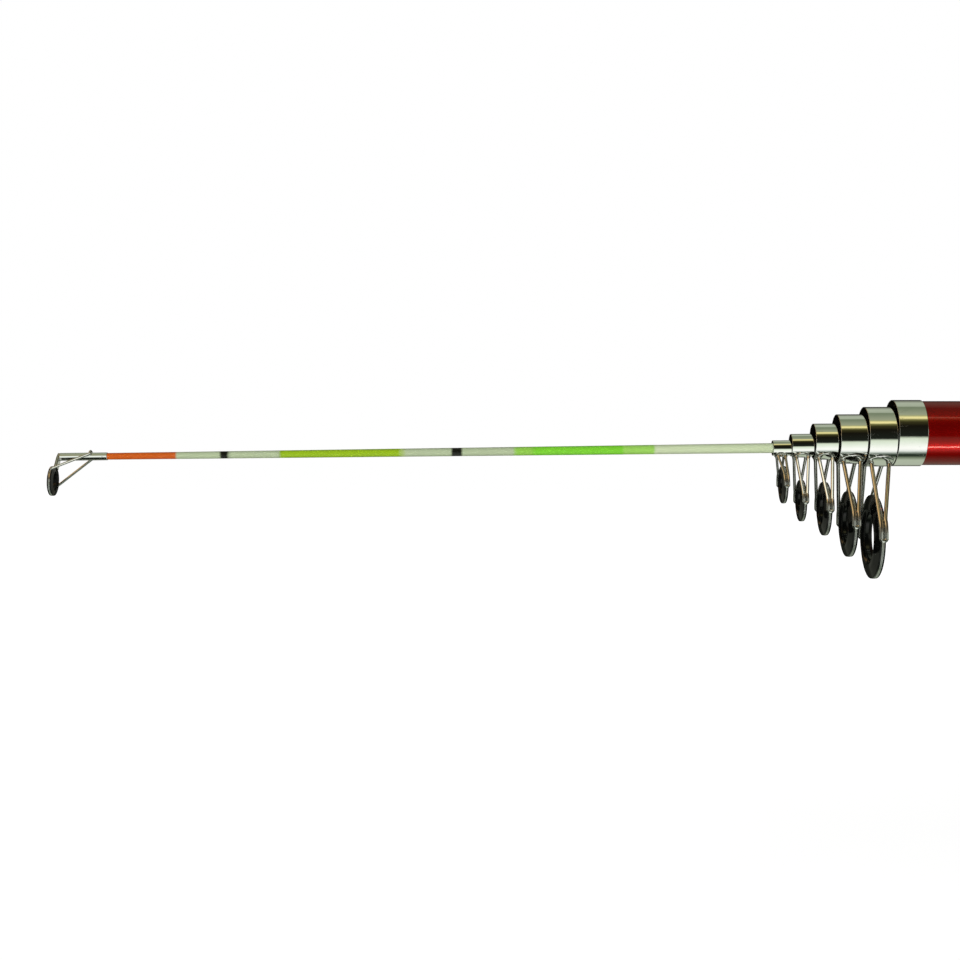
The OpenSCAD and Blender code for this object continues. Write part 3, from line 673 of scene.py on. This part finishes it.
# tip
tipSizes = {
    "endR": 1.05,  # blank at the top tube
    "mouthR": 1.55,  # blank just inside section 6
    "mouthX": 2.0,
    "hold": 40.0,  # length kept in section 6
    "flare": 0.107,
    "grip": 2.9,  # from the top tube's front to the blank's end in it
    "press": 0.3,  # the blank's spigot inside the tube's radius
    "tubeWall": 0.28,
    "tubeRound": 0.12,
    "ringWall": 0.45,
    "lean": math.radians(3),
    "glue": 0.02,
}
strut = {
    "wide": 1.7, "thick": 0.6, "flare": 0.9, "turn": math.radians(13), "square": 0.35,
    "ahead": [-0.14, -0.24, -0.40, -0.62, -0.74],  # knots of its path, in front of the top tube
    "down": [0.3, -0.6],  # height of the second and third, as shares of the tube's radius
    "top": 0.35,  # the first below the tube's top
    "heel": 0.7,  # the fourth above the ring
}
braceSizes = {"wire": 0.8, "rise": 1.2, "set": 5.3, "loopSteps": 13, "legSteps": 5}
tipPlace = places["tip"]
tubeCloud = inside("tip_tube", tipPlace)
topX, tubeX, tubeR = tubeCloud[:, 0].min(), tubeCloud[:, 0].max(), np.ptp(tubeCloud[:, 1]) / 2
topRing = inside("tip_ring", tipPlace)
topCentre = middle(topRing)
topRoll = math.atan2(-topCentre[1], -topCentre[2])  # turn about the rod that brings the ring below the tube
topDrop = math.hypot(topCentre[1], topCentre[2])
ringAxis = np.linalg.svd(topRing - topRing.mean(0), full_matrices=False)[2][2]
ringAxis = ringAxis * -np.sign(ringAxis[0])  # toward the tip
topR = np.linalg.norm(np.cross(topRing - topCentre, ringAxis), axis=1).max()
topW = np.ptp((topRing - topCentre) @ ringAxis)
insertOff = inside("tip_insert", tipPlace) - topCentre
topHole = np.linalg.norm(np.cross(insertOff, ringAxis), axis=1).min()
topProud = (np.ptp(insertOff @ ringAxis) - topW) / 2


def rolled(local):  # from the top ring's upright frame to the tip's: a turn about X
    c, s = math.cos(topRoll), math.sin(topRoll)
    x, y, z = np.moveaxis(local, -1, 0)
    return np.stack([x, y * c + z * s, -y * s + z * c], -1)


def onRing(local):  # leans a ring about its sideways axis and puts it at the top ring's centre
    c, s = math.cos(tipSizes["lean"]), math.sin(tipSizes["lean"])
    x, y, z = np.moveaxis(local, -1, 0)
    return rolled(np.stack([x * c + z * s, y, -x * s + z * c], -1)) + topCentre


def tipPiece(name, grid, *materials, **more):
    return makePiece(name, [grid], tipPlace, "tip", materials, **more)


endR, mouthR, mouthX = tipSizes["endR"], tipSizes["mouthR"], tipSizes["mouthX"]
stations = np.concatenate([[topX + tipSizes["grip"], tubeX - 0.02, tubeX],
                           np.linspace(tubeX + 0.05, mouthX, 60), [mouthX + tipSizes["hold"]]])
radii = np.where(stations < tubeX, tubeR - tipSizes["press"],
                 endR + (mouthR - endR) * (stations - tubeX) / (mouthX - tubeX))
radii[-1] = mouthR + tipSizes["flare"]
tipPiece("tip_blank", turned(np.stack([stations, radii], -1), 64), tipGlass, closed=False,
         band=lambda p: p[:, 0] - tubeX)
tubeBore = tubeR - tipSizes["tubeWall"]
tubeProfile = filleted([[topX, tubeBore], [topX, tubeR], [tubeX, tubeR], [tubeX, tubeBore]],
                       tipSizes["tubeRound"])
# the bore's rows get the near-black inside finish, which is painted shade
tubeBorePaintedShade = np.arange(len(tubeProfile)) >= 24  # rows of the bore
tipPiece("tip_tube", turned(tubeProfile, 96), chrome, paintedShadeInside, pick=tubeBorePaintedShade)
topWall = tipSizes["ringWall"]
tipPiece("tip_ring", onRing(turned(ringProfile(topR, topWall, topW), 128)), chrome)
topInsert = insertProfile(topHole, topR, topWall, topW / 2, topProud)
tipPiece("tip_insert", onRing(turned(topInsert, 128)), ceramic)


def blunt(wave):  # a cosine or sine pushed toward a square wave
    return np.sign(wave) * np.abs(wave) ** strut["square"]


# flat strut from the top tube's front down to the ring's rim: a round-edged strip along a bent path
reach = topDrop - topR
strutZ = [tubeR - strut["top"], *(tubeR * share for share in strut["down"]), strut["heel"] - reach,
          -reach - tipSizes["glue"]]
strutPath = smoothPath(np.stack([strut["ahead"], np.zeros(len(strutZ)), strutZ], -1), 8)
strutDown = np.linspace(0, 1, len(strutPath))[:, None, None]
strutRound = np.linspace(0, turn, 48, endpoint=False)[None, :, None]
deep = blunt(np.cos(strutRound)) * strut["thick"] / 2 * (1 + strut["flare"] * strutDown)
over = blunt(np.sin(strutRound)) * strut["wide"] / 2
strip = strutPath[:, None] + np.concatenate(
    np.broadcast_arrays(deep + over * math.tan(strut["turn"]), over, np.zeros_like(deep)), -1)
toTop = np.array([topX, 0, 0])
tipPiece("tip_strut", rolled(strip) + toTop, chrome, closed=False)

# wire brace: up from one side of the ring, over the top tube and down to the other side
outside = braceSizes["wire"] / 2 + tipSizes["glue"]
loopR, lapR = tubeR + outside, topR + outside
loopX = tubeX - topX - braceSizes["set"]
sideY = math.sqrt(lapR ** 2 - braceSizes["rise"] ** 2)
loopAngle = np.linspace(0, math.pi, braceSizes["loopSteps"])
loop = np.stack([np.full_like(loopAngle, loopX), -loopR * np.cos(loopAngle), loopR * np.sin(loopAngle)], -1)
legShare = np.linspace(0, 1, braceSizes["legSteps"], endpoint=False)[:, None]
footX, footZ = topCentre[0] - topX, braceSizes["rise"] - topDrop
nearFoot, farFoot = np.array([footX, -sideY, footZ]), np.array([footX, sideY, footZ])
braceKnots = np.concatenate([nearFoot + (loop[0] - nearFoot) * legShare, loop,
                             (farFoot + (loop[-1] - farFoot) * legShare)[::-1]])
brace = sweptWire(smoothPath(braceKnots, 5), braceSizes["wire"] / 2, np.array([1.0, 0.0, 0.0]), 16)
braces = bpy.data.collections.new("braces")  # shows the brace lamp
braces.objects.link(tipPiece("tip_brace", rolled(brace) + toTop, wire, closed=False))
print("tip ready")

# butt tube and handle
handle = {"bore": 10.04, "glue": 0.02, "clear": 0.2}  # glued fits, and running fits on the barrel
buttPlace = {"at": middle(endRing("butt_collar", False)), "along": home["along"]}
mouth, outer, front, rear, _ = tubeEnds("butt_tube", buttPlace)
wide = mouth + blankSizes["flare"][0]
tubePiece("butt_tube", buttPlace, "butt", [[front, mouth], [front, outer], [rear, outer], [rear, wide],
                                           [front + blankSizes["jam"], wide]], 2, 192)
collarPiece("butt_collar", buttPlace, "butt", outer, collarSizes["rim"][0])

trim = {"bevel": 0.5, "groove": 0.3, "edges": (0.36, 0.42, 0.58, 0.64), "round": 0.12}  # the groove's edges


def bandRing(name):  # bevelled ring with a turned groove
    x0, x1, r = span(name)
    a, b, c, d = (x0 + share * (x1 - x0) for share in trim["edges"])
    bore, bevel, low = handle["bore"], trim["bevel"], r - trim["groove"]
    outline = [[x0, bore], [x0, r - bevel], [x0 + bevel, r], [a, r], [b, low], [c, low], [d, r],
               [x1 - bevel, r], [x1, r - bevel], [x1, bore]]
    profile = filleted(outline, trim["round"])
    makePiece(name, [turned(profile, 160)], home, "butt", [alloy])


bandRing("winding_check")
bandRing("rear_ring")

grips = {"fore_grip": {"swell": 1.2, "edge": 1.86}, "rear_grip": {"swell": 0.0, "edge": 2.5}}


def gripPiece(name, swell, edge):  # foam sleeve whose radius swells along half a sine wave
    x0, x1, r = span(name)
    end, bore = r - swell, handle["bore"]
    body = np.linspace(x0 + edge, x1 - edge, 90)
    bulge = swell * np.sin(math.pi * (body - x0 - edge) / (x1 - x0 - 2 * edge))
    quarter = np.linspace(0, math.pi / 2, 9)
    lip = np.stack([x0 + edge - edge * np.cos(quarter), end - edge + edge * np.sin(quarter)], -1)
    tail = np.stack([x1 - edge + edge * np.sin(quarter), end - edge + edge * np.cos(quarter)], -1)
    profile = np.concatenate([[[x0, bore]], lip, np.stack([body, end + bulge], -1)[1:-1], tail, [[x1, bore]]])
    makePiece(name, [turned(profile, 160)], home, "butt", [foam])


for name, sizes in grips.items():
    gripPiece(name, **sizes)

thread = {"crest": 1.6, "flank": 4.4}  # height before the crest is cut flat, and the flanks' steepness


def threadForm(x, angle, pitch):  # 0 at the root and 1 on the crest of a right-hand helix with flat flanks
    phase = np.mod(x / pitch - angle / turn, 1.0)
    return np.clip(thread["crest"] - thread["flank"] * np.abs(phase - 0.5), 0, 1)


def plain(r):  # the same radius all over
    return lambda x, angle: np.full_like(x, r)


barrel = {
    "pitch": 3.0,
    "depth": 0.6,
    "length": 49.0,  # threaded part, from the front
    "leadIn": 1.2,
    "leadOut": 1.5,
    "runOut": 2.0,  # ramp from the thread's root to the full radius
    "bed": 0.6,  # depth of the flat under the reel foot
    "bedStart": 3.0,  # behind the thread
}
barrelX0, barrelX1, barrelR = span("reel_seat_barrel")
threadEnd = barrelX0 + barrel["length"]
threadRoot = barrelR - barrel["depth"]
runEnd = threadEnd + barrel["runOut"]


def barrelRadius(x, angle):
    # threaded front, a ramp, then a round with a flat below, whose radius is its depth over the cosine
    lip = ease((x - barrelX0) / barrel["leadIn"]) * ease((threadEnd - x) / barrel["leadOut"])
    helix = threadRoot + barrel["depth"] * threadForm(x, angle, barrel["pitch"]) * lip
    r = np.where(x < threadEnd, helix, barrelR)
    ramp = threadRoot + barrel["depth"] * ease((x - threadEnd) / barrel["runOut"])
    r = np.where((x >= threadEnd) & (x < runEnd), ramp, r)
    flat = (barrelR - barrel["bed"]) / np.maximum(np.cos(angle), 0.2)
    return np.where(x > threadEnd + barrel["bedStart"], np.minimum(r, flat), r)


xOuter = np.concatenate([np.linspace(barrelX0, runEnd, 360), np.linspace(runEnd + 0.6, barrelX1, 40)])
barrelGrid = np.concatenate([polar(xOuter, barrelRadius, 144),
                             polar(np.array([barrelX1, barrelX0]), plain(handle["bore"]), 144)])
makePiece("reel_seat_barrel", [barrelGrid], home, "butt", [moulding])

hoods = {
    "end": 4.0,  # closed end of a pocket
    "pocketW": 16.5,
    "wall": 1.8,
    "blend": 0.35,  # softness of the join between sleeve and keel
    "trim": 0.02,
    "edge": 0.7,  # rounding of both rims
    "taper": 1.4,  # how far the keel falls at its closed end
    "taperRun": 9.0,
    "lip": 0.15,
    "sides": 240,
}


def hoodPiece(name, body, flip, bore):
    # polar section: a round sleeve joined to a keel with flat cheeks; the pocket is the same form, smaller,
    # and opens toward the butt where flip is 1 and toward the tip where it is -1
    x0, x1, sleeve = span(name)
    keel, pocketHalf = -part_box(name)[0].z / metre, hoods["pocketW"] / 2
    closedX, openX = (x0, x1) if flip > 0 else (x1, x0)
    pocketX = closedX + flip * hoods["end"]

    def keelForm(angle, half, deep, around):  # soft maximum of the keel's box and the sleeve
        side = half / np.maximum(np.abs(np.sin(angle)), 1e-6)
        box = np.where(np.cos(angle) > 0, np.minimum(deep, side), 0)
        blend = hoods["blend"]
        return np.logaddexp(box / blend, np.full_like(box, around) / blend) * blend - hoods["trim"]

    def outerForm(x, angle):
        toEnd = np.minimum(np.abs(x - closedX), np.abs(x - openX))
        inset = hoods["edge"] * (1 - np.sqrt(1 - (1 - np.clip(toEnd / hoods["edge"], 0, 1)) ** 2))
        nearEnd = 1 - ease(np.abs(x - closedX) / hoods["taperRun"])
        fall = hoods["taper"] * nearEnd * np.clip(np.cos(angle), 0, 1)
        return np.minimum(keelForm(angle, pocketHalf + hoods["wall"], keel, sleeve), keel) - inset - fall

    def pocketForm(x, angle):
        return np.maximum(keelForm(angle, pocketHalf, keel - hoods["wall"], bore), bore)

    stations = closedX + flip * (x1 - x0) * (0.5 - 0.5 * np.cos(np.linspace(0, math.pi, 34)))
    pocketRows = np.array([openX, openX - flip * hoods["lip"], pocketX])
    surfaces = ((stations, outerForm), (pocketRows, pocketForm), (np.array([pocketX, closedX]), plain(bore)))
    grid = np.concatenate([polar(x, form, hoods["sides"]) for x, form in surfaces])
    makePiece(name, [grid], home, body, [moulding])


hoodPiece("fixed_hood", "butt", -1, barrelR + handle["glue"])
hoodPiece("sliding_hood", "hood", 1, barrelR + handle["clear"])


def flutes(angle, sizes):  # depth of round grooves cut into a radius
    wave = sizes["broad"] * np.cos(sizes["count"] * angle) - (sizes["broad"] - 1)
    return sizes["deep"] * np.clip(wave, 0, 1) ** sizes["soft"]


nut = {
    "count": 18, "deep": 0.55, "broad": 1.35, "soft": 0.8,  # flutes
    "plainFront": 1.6, "plainRear": 0.9, "fade": 0.6,  # bands without flutes
    "bevel": 0.5,
    "bite": 0.6,  # depth of its thread as a share of the barrel's
    "firstRow": 0.25,
}
nutX0, nutX1, nutR = span("lock_nut")


def nutForm(x, angle):  # flutes fade into a plain collar at the front and a bevel at both ends
    front, rear = x - nutX0 - nut["plainFront"], nutX1 - x - nut["plainRear"]
    fade = ease(front / nut["fade"]) * ease(rear / nut["fade"])
    bevel = nut["bevel"] * (1 - np.clip(np.minimum(x - nutX0, nutX1 - x) / nut["bevel"], 0, 1))
    return nutR - flutes(angle, nut) * fade - bevel


def nutBore(x, angle):
    groove = barrel["depth"] * nut["bite"] * (1 - threadForm(x, angle, barrel["pitch"]))
    return barrelR + handle["clear"] + groove


nutRows = np.linspace(nutX0 + nut["firstRow"], nutX1 - nut["firstRow"], 60)
nutRows = np.concatenate([[nutX0], nutRows, [nutX1]])
nutGrid = np.concatenate([polar(nutRows, nutForm, 288), polar(nutRows[::-1], nutBore, 288)])
makePiece("lock_nut", [nutGrid], home, "nut", [alloy])

cap = {
    "plugR": 8.34, "clear": 0.1, "pitch": 2.0, "depth": 0.45, "lead": 0.8,  # threaded plug
    "count": 24, "deep": 0.4, "broad": 1.3, "soft": 1.0,  # flutes
    "plain": 1.9, "fade": 0.7,  # bands without flutes
    "bevel": 1.4,
    "washerRound": 0.25,
}
socketX0, socketX1, socketR = span("cap_socket")
capX0, capX1, capR = span("butt_cap")
washerX0, washerX1, washerR = span("cap_washer")
socketBore = cap["plugR"] + cap["clear"]


def capThread(x, angle):  # depth of the thread's groove
    return cap["depth"] * (1 - threadForm(x, angle, cap["pitch"]))


socketRows = np.linspace(socketX0, socketX1, 130)
socketGrid = np.concatenate([polar(np.array([socketX0, socketX1]), plain(socketR), 96),
                             polar(socketRows[::-1], lambda x, angle: socketBore + capThread(x, angle), 96)])
makePiece("cap_socket", [socketGrid], home, "butt", [brass])
washer = filleted([[washerX0, socketBore], [washerX0, washerR], [washerX1, washerR], [washerX1, socketBore]],
                  cap["washerRound"])
makePiece("cap_washer", [turned(washer, 128)], home, "washer", [rubber])


def capForm(x, angle):  # threaded plug with a bevelled start, then a fluted and bevelled head
    start = cap["lead"] * (1 - np.clip((x - capX0) / cap["lead"], 0, 1))
    plug = cap["plugR"] - capThread(x, angle) - start
    fade = ease((x - washerX1 - cap["plain"]) / cap["fade"]) * ease((capX1 - x - cap["plain"]) / cap["fade"])
    bevel = cap["bevel"] * (1 - np.clip(np.minimum(x - washerX1, capX1 - x) / cap["bevel"], 0, 1))
    return np.where(x < washerX1 - 1e-6, plug, capR - flutes(angle, cap) * fade - bevel)


capRows = np.concatenate([np.linspace(capX0, washerX1 - 0.01, 130), [washerX1],
                          np.linspace(washerX1 + 0.1, capX1, 70)])
makePiece("butt_cap", [polar(capRows, capForm, 240)], home, "cap", [alloy], closed=False)

bumper = {"pitch": 1.6, "deep": 0.25, "fade": 0.5, "hub": 0.3, "tuck": 0.3}  # rings pressed into its face
bumpX0, bumpX1, bumpR = span("butt_bumper")
bumpH = bumpX1 - bumpX0
dome = np.linspace(0, math.pi / 2, 30)
domeLine = np.stack([bumpX0 + bumpH * np.sin(dome), bumpR - bumpH + bumpH * np.cos(dome)], -1)
faceR = np.linspace(bumpR - bumpH, bumper["hub"], 60)[1:]
faceFade = ease((bumpR - bumpH - faceR) / bumper["fade"])
faceRings = np.clip(np.cos(turn * faceR / bumper["pitch"]), 0, 1) * faceFade
faceLine = np.stack([bumpX1 - bumper["deep"] * faceRings, faceR], -1)
bumpProfile = np.concatenate([[[bumpX0, bumpR - bumper["tuck"]]], domeLine, faceLine])
makePiece("butt_bumper", [turned(bumpProfile, 160)], home, "cap", [rubber], closed=False)

pad = {"hole": 2.0, "round": 0.6}
padX0, padX1, padR = span("rattle_pad")
padOutline = [[padX0, pad["hole"]], [padX0, padR], [padX1, padR], [padX1, pad["hole"]]]
padGrid = turned(filleted(padOutline, pad["round"]), 96)
makePiece("rattle_pad", [padGrid], home, "cap", [felt])
print("handle ready")

# camera, light and floor
shot = {"centre": (-407.9, 0.0, -14.7), "distance": 500.0, "lens": 59.83, "sensor": 36.0, "nearest": 0.01}
camera = addObject("camera", bpy.data.cameras.new("camera"))
camera.data.lens, camera.data.sensor_width = shot["lens"], shot["sensor"]
camera.data.clip_start = shot["nearest"]
camera.location = (shot["centre"][0] * metre, -shot["distance"] * metre, shot["centre"][2] * metre)
camera.rotation_euler = (math.pi / 2, 0, 0)
scene.camera = camera
scene.view_settings.view_transform = "Standard"

dark, dusk = (0.010, 0.011, 0.008), (0.03, 0.032, 0.025)
studio = {
    "fill": 0.15,
    # angle round the rod from the camera's side, upward, and the colour that polished metal sees there
    "nearPanels": [  # toward the butt
        (-180, dark), (-160, (0.12, 0.13, 0.10)), (-145, (0.44, 0.49, 0.39)), (-110, (0.44, 0.50, 0.38)),
        (-96, (0.18, 0.22, 0.15)), (-88, (0.02, 0.03, 0.02)), (-80, (0.03, 0.045, 0.03)),
        (-72, (0.35, 0.40, 0.35)), (-66, (0.85, 0.88, 0.84)), (-58, (1.05, 1.05, 1.0)),
        (-52, (1.05, 1.06, 1.0)), (-30, (0.80, 0.88, 0.74)), (-20, (0.70, 0.78, 0.62)),
        (-15, (0.30, 0.34, 0.26)), (-12, (0.012, 0.015, 0.011)), (24, (0.008, 0.007, 0.004)),
        (38, (0.04, 0.036, 0.012)), (46, (0.19, 0.18, 0.06)), (51, (0.90, 0.80, 0.36)),
        (56, (0.90, 0.80, 0.36)), (60, (0.42, 0.42, 0.19)), (66, (0.33, 0.36, 0.24)),
        (88, (0.22, 0.26, 0.17)), (100, (0.18, 0.22, 0.14)), (106, (0.38, 0.43, 0.32)),
        (125, (0.42, 0.47, 0.36)), (140, (0.26, 0.28, 0.22)), (155, dusk), (180, dark),
    ],
    "tipPanels": [  # toward the tip
        (-180, dark), (-160, (0.10, 0.105, 0.08)), (-105, (0.16, 0.18, 0.13)), (-95, (0.012, 0.014, 0.010)),
        (-38, (0.010, 0.012, 0.009)), (-26, (0.35, 0.38, 0.33)), (-18, (0.85, 0.90, 0.82)),
        (0, (0.95, 1.0, 0.93)), (15, (0.80, 0.84, 0.74)), (24, (0.36, 0.39, 0.28)), (38, (0.29, 0.28, 0.17)),
        (54, (0.27, 0.27, 0.14)), (70, (0.32, 0.35, 0.25)), (120, (0.30, 0.33, 0.24)),
        (145, (0.06, 0.065, 0.05)), (180, dark),
    ],
    "squarePanels": [  # square to the rod, which mostly its guides' wires see
        (-180, dark), (-145, (0.10, 0.11, 0.09)), (-100, (0.30, 0.33, 0.27)), (-70, (0.80, 0.86, 0.76)),
        (-30, (0.80, 0.86, 0.76)), (-12, (0.03, 0.033, 0.025)), (20, (0.02, 0.02, 0.014)),
        (52, (0.06, 0.05, 0.03)), (75, (0.12, 0.12, 0.09)), (110, (0.20, 0.22, 0.17)), (150, dusk),
        (180, dark),
    ],
    # rise of the way that polished metal looks, and the colour that it sees there
    "rise": (-0.6, 0.8),
    "buttSide": [  # far toward the butt
        (-0.5, (0.10, 0.12, 0.10)), (-0.2, (0.20, 0.19, 0.14)), (-0.08, (0.42, 0.44, 0.38)),
        (0.12, (0.42, 0.44, 0.38)), (0.22, (0.12, 0.09, 0.06)), (0.38, (0.05, 0.04, 0.025)),
        (0.8, (0.06, 0.045, 0.03)),
    ],
    "tipSide": [  # far toward the tip
        (-0.3, (0.03, 0.033, 0.025)), (-0.15, (0.20, 0.21, 0.17)), (0.05, (0.10, 0.10, 0.08)),
        (0.35, (0.14, 0.11, 0.07)), (0.45, (0.62, 0.40, 0.17)), (0.55, (0.92, 0.60, 0.27)),
        (0.68, (0.55, 0.33, 0.14)), (0.74, (0.28, 0.17, 0.07)), (0.78, (0.05, 0.045, 0.03)),
    ],
    # where along the rod the panels before give way to these, in the order in which they are laid
    "blends": [("squarePanels", -0.21, -0.18), ("nearPanels", 0.12, 0.17), ("tipSide", -0.265, -0.3),
               ("buttSide", 0.3, 0.36)],
}


def studioWorld():  # white to the camera, panels round the rod to polished surfaces, even fill to the rest
    scene.world = bpy.data.worlds.new("studio")
    scene.world.use_nodes = True
    tree = scene.world.node_tree
    tree.nodes.clear()
    way = addNode(tree, "SeparateXYZ", {0: addNode(tree, "TexCoord").outputs["Generated"]}).outputs
    angle = calculate(tree, "ARCTAN2", way["Z"], calculate(tree, "MULTIPLY", way["Y"], -1.0))
    byRise = (mapRange(tree, way["Z"], *studio["rise"]), *studio["rise"])
    byAngle = (mapRange(tree, angle, -math.pi, math.pi), -180, 180)

    def panels(name):  # sides go by rise, the others by the angle round the rod
        share, low, high = byRise if name.endswith("Side") else byAngle
        return colourRamp(tree, share, [((at - low) / (high - low), tint) for at, tint in studio[name]])

    sides = panels("tipPanels")
    for name, start, stop in studio["blends"]:
        sides = mixColours(tree, mapRange(tree, way["X"], start, stop), sides, panels(name))
    ray = addNode(tree, "LightPath").outputs
    gloss = calculate(tree, "MAXIMUM", ray["Is Glossy Ray"], ray["Is Transmission Ray"])
    lit = mixColours(tree, gloss, (studio["fill"],) * 3, sides)
    seen = mixColours(tree, ray["Is Camera Ray"], lit, (1.0, 1.0, 1.0))
    light = addNode(tree, "Background", {"Color": seen, "Strength": 1.0})
    addNode(tree, "OutputWorld", {"Surface": light.outputs[0]})


def areaLamp(name, place, size, power, target, colour=(1, 1, 1), shownBy=None):
    # soft lamps light the matt surfaces; the others only show in the gloss of one collection's pieces
    data = bpy.data.lights.new(name, "AREA")
    data.shape, data.size, data.size_y, data.energy, data.color = "RECTANGLE", *size, power, colour
    lamp = addObject(name, data)
    lamp.location = place
    aim = np.array(target) - np.array(place)
    lamp.rotation_euler = (math.atan2(math.hypot(aim[0], aim[1]), -aim[2]), 0, math.atan2(-aim[0], aim[1]))
    lamp.visible_camera = False
    lamp.visible_glossy, lamp.visible_diffuse = shownBy is not None, shownBy is None
    if shownBy:
        lamp.light_linking.receiver_collection = shownBy


floorLook = {"drop": 220.0, "half": 30000.0, "reach": (0.5, 2.0), "glow": (0.8, 1.0)}  # reach is in m


def floorFinish():  # pale floor, white to the camera where it is lit
    made, tree, shader, spot = newMaterial("paleFloor", Roughness=0.9, Specular_IOR_Level=0.0)
    paint(tree, shader, drift(tree, spot, 3.0), (0.80, 0.80, 0.79), (0.83, 0.83, 0.82))
    away = addNode(tree, "VectorMath", {0: spot}, operation="LENGTH").outputs["Value"]
    level = mapRange(tree, away, *floorLook["reach"], *floorLook["glow"])
    glow = addNode(tree, "Emission", {"Color": (1, 1, 1, 1), "Strength": level})
    both = addNode(tree, "AddShader", {0: shader.outputs[0], 1: glow.outputs[0]})
    seen = addNode(tree, "LightPath").outputs["Is Camera Ray"]
    pick = addNode(tree, "MixShader", {0: seen, 1: shader.outputs[0], 2: both.outputs[0]})
    tree.links.new(pick.outputs[0], tree.nodes["Material Output"].inputs["Surface"])
    return made


floorMesh = bpy.data.meshes.new("floor")
floorCorners = np.array([[-1, -1, 0], [1, -1, 0], [1, 1, 0], [-1, 1, 0]]) * floorLook["half"]
floorCorners[:, 2] -= floorLook["drop"]
floorMesh.from_pydata((floorCorners * metre).tolist(), [], [(0, 1, 2, 3)])
floorMesh.materials.append(floorFinish())
floor = addObject("floor", floorMesh)
floor.visible_glossy = False
studioWorld()

streaks = {
    "start": -0.3, "length": 0.6, "away": 0.25, "wide": 0.018,  # lines beside the red tube
    "lines": [("upperStreak", 54.8, 0.12, (1.0, 0.5, 0.36)), ("lowerStreak", -52.2, 0.9, (1.0, 0.72, 0.6))],
}
softLamps = {
    "keyLight": {"place": (-0.45, -1.4, -0.06), "size": (1.6, 0.3), "power": 17.0,
                 "target": (-0.3, 0, -0.02)},
    "topLight": {"place": (-0.2, -0.3, 1.6), "size": (1.2, 1.2), "power": 2.5, "target": (-0.3, 0, 0)},
}
glossLamps = {
    "legLamp": {"place": (-0.5, -0.65, 0.7), "size": (1.6, 0.3), "power": 1.2, "target": (-0.298, 0, -0.02),
                "colour": (0.92, 1.0, 0.9), "shownBy": paleLegs},
    "braceLamp": {"place": (0.194, -0.65, 0.21), "size": (0.3, 1.3), "power": 1.1, "target": (-0.536, 0, 0),
                  "colour": (1.0, 1.0, 0.9), "shownBy": braces},
}
for name, sizes in softLamps.items():
    areaLamp(name, **sizes)
lampX, away = streaks["start"] + streaks["length"] / 2, streaks["away"]
for name, degrees, power, colour in streaks["lines"]:
    rise = math.radians(degrees)
    areaLamp(name, (lampX, -away * math.cos(rise), away * math.sin(rise)),
             (streaks["length"], streaks["wide"]), power, (lampX, 0, 0), colour, lacquered)
for name, sizes in glossLamps.items():
    areaLamp(name, **sizes)
print("studio ready")
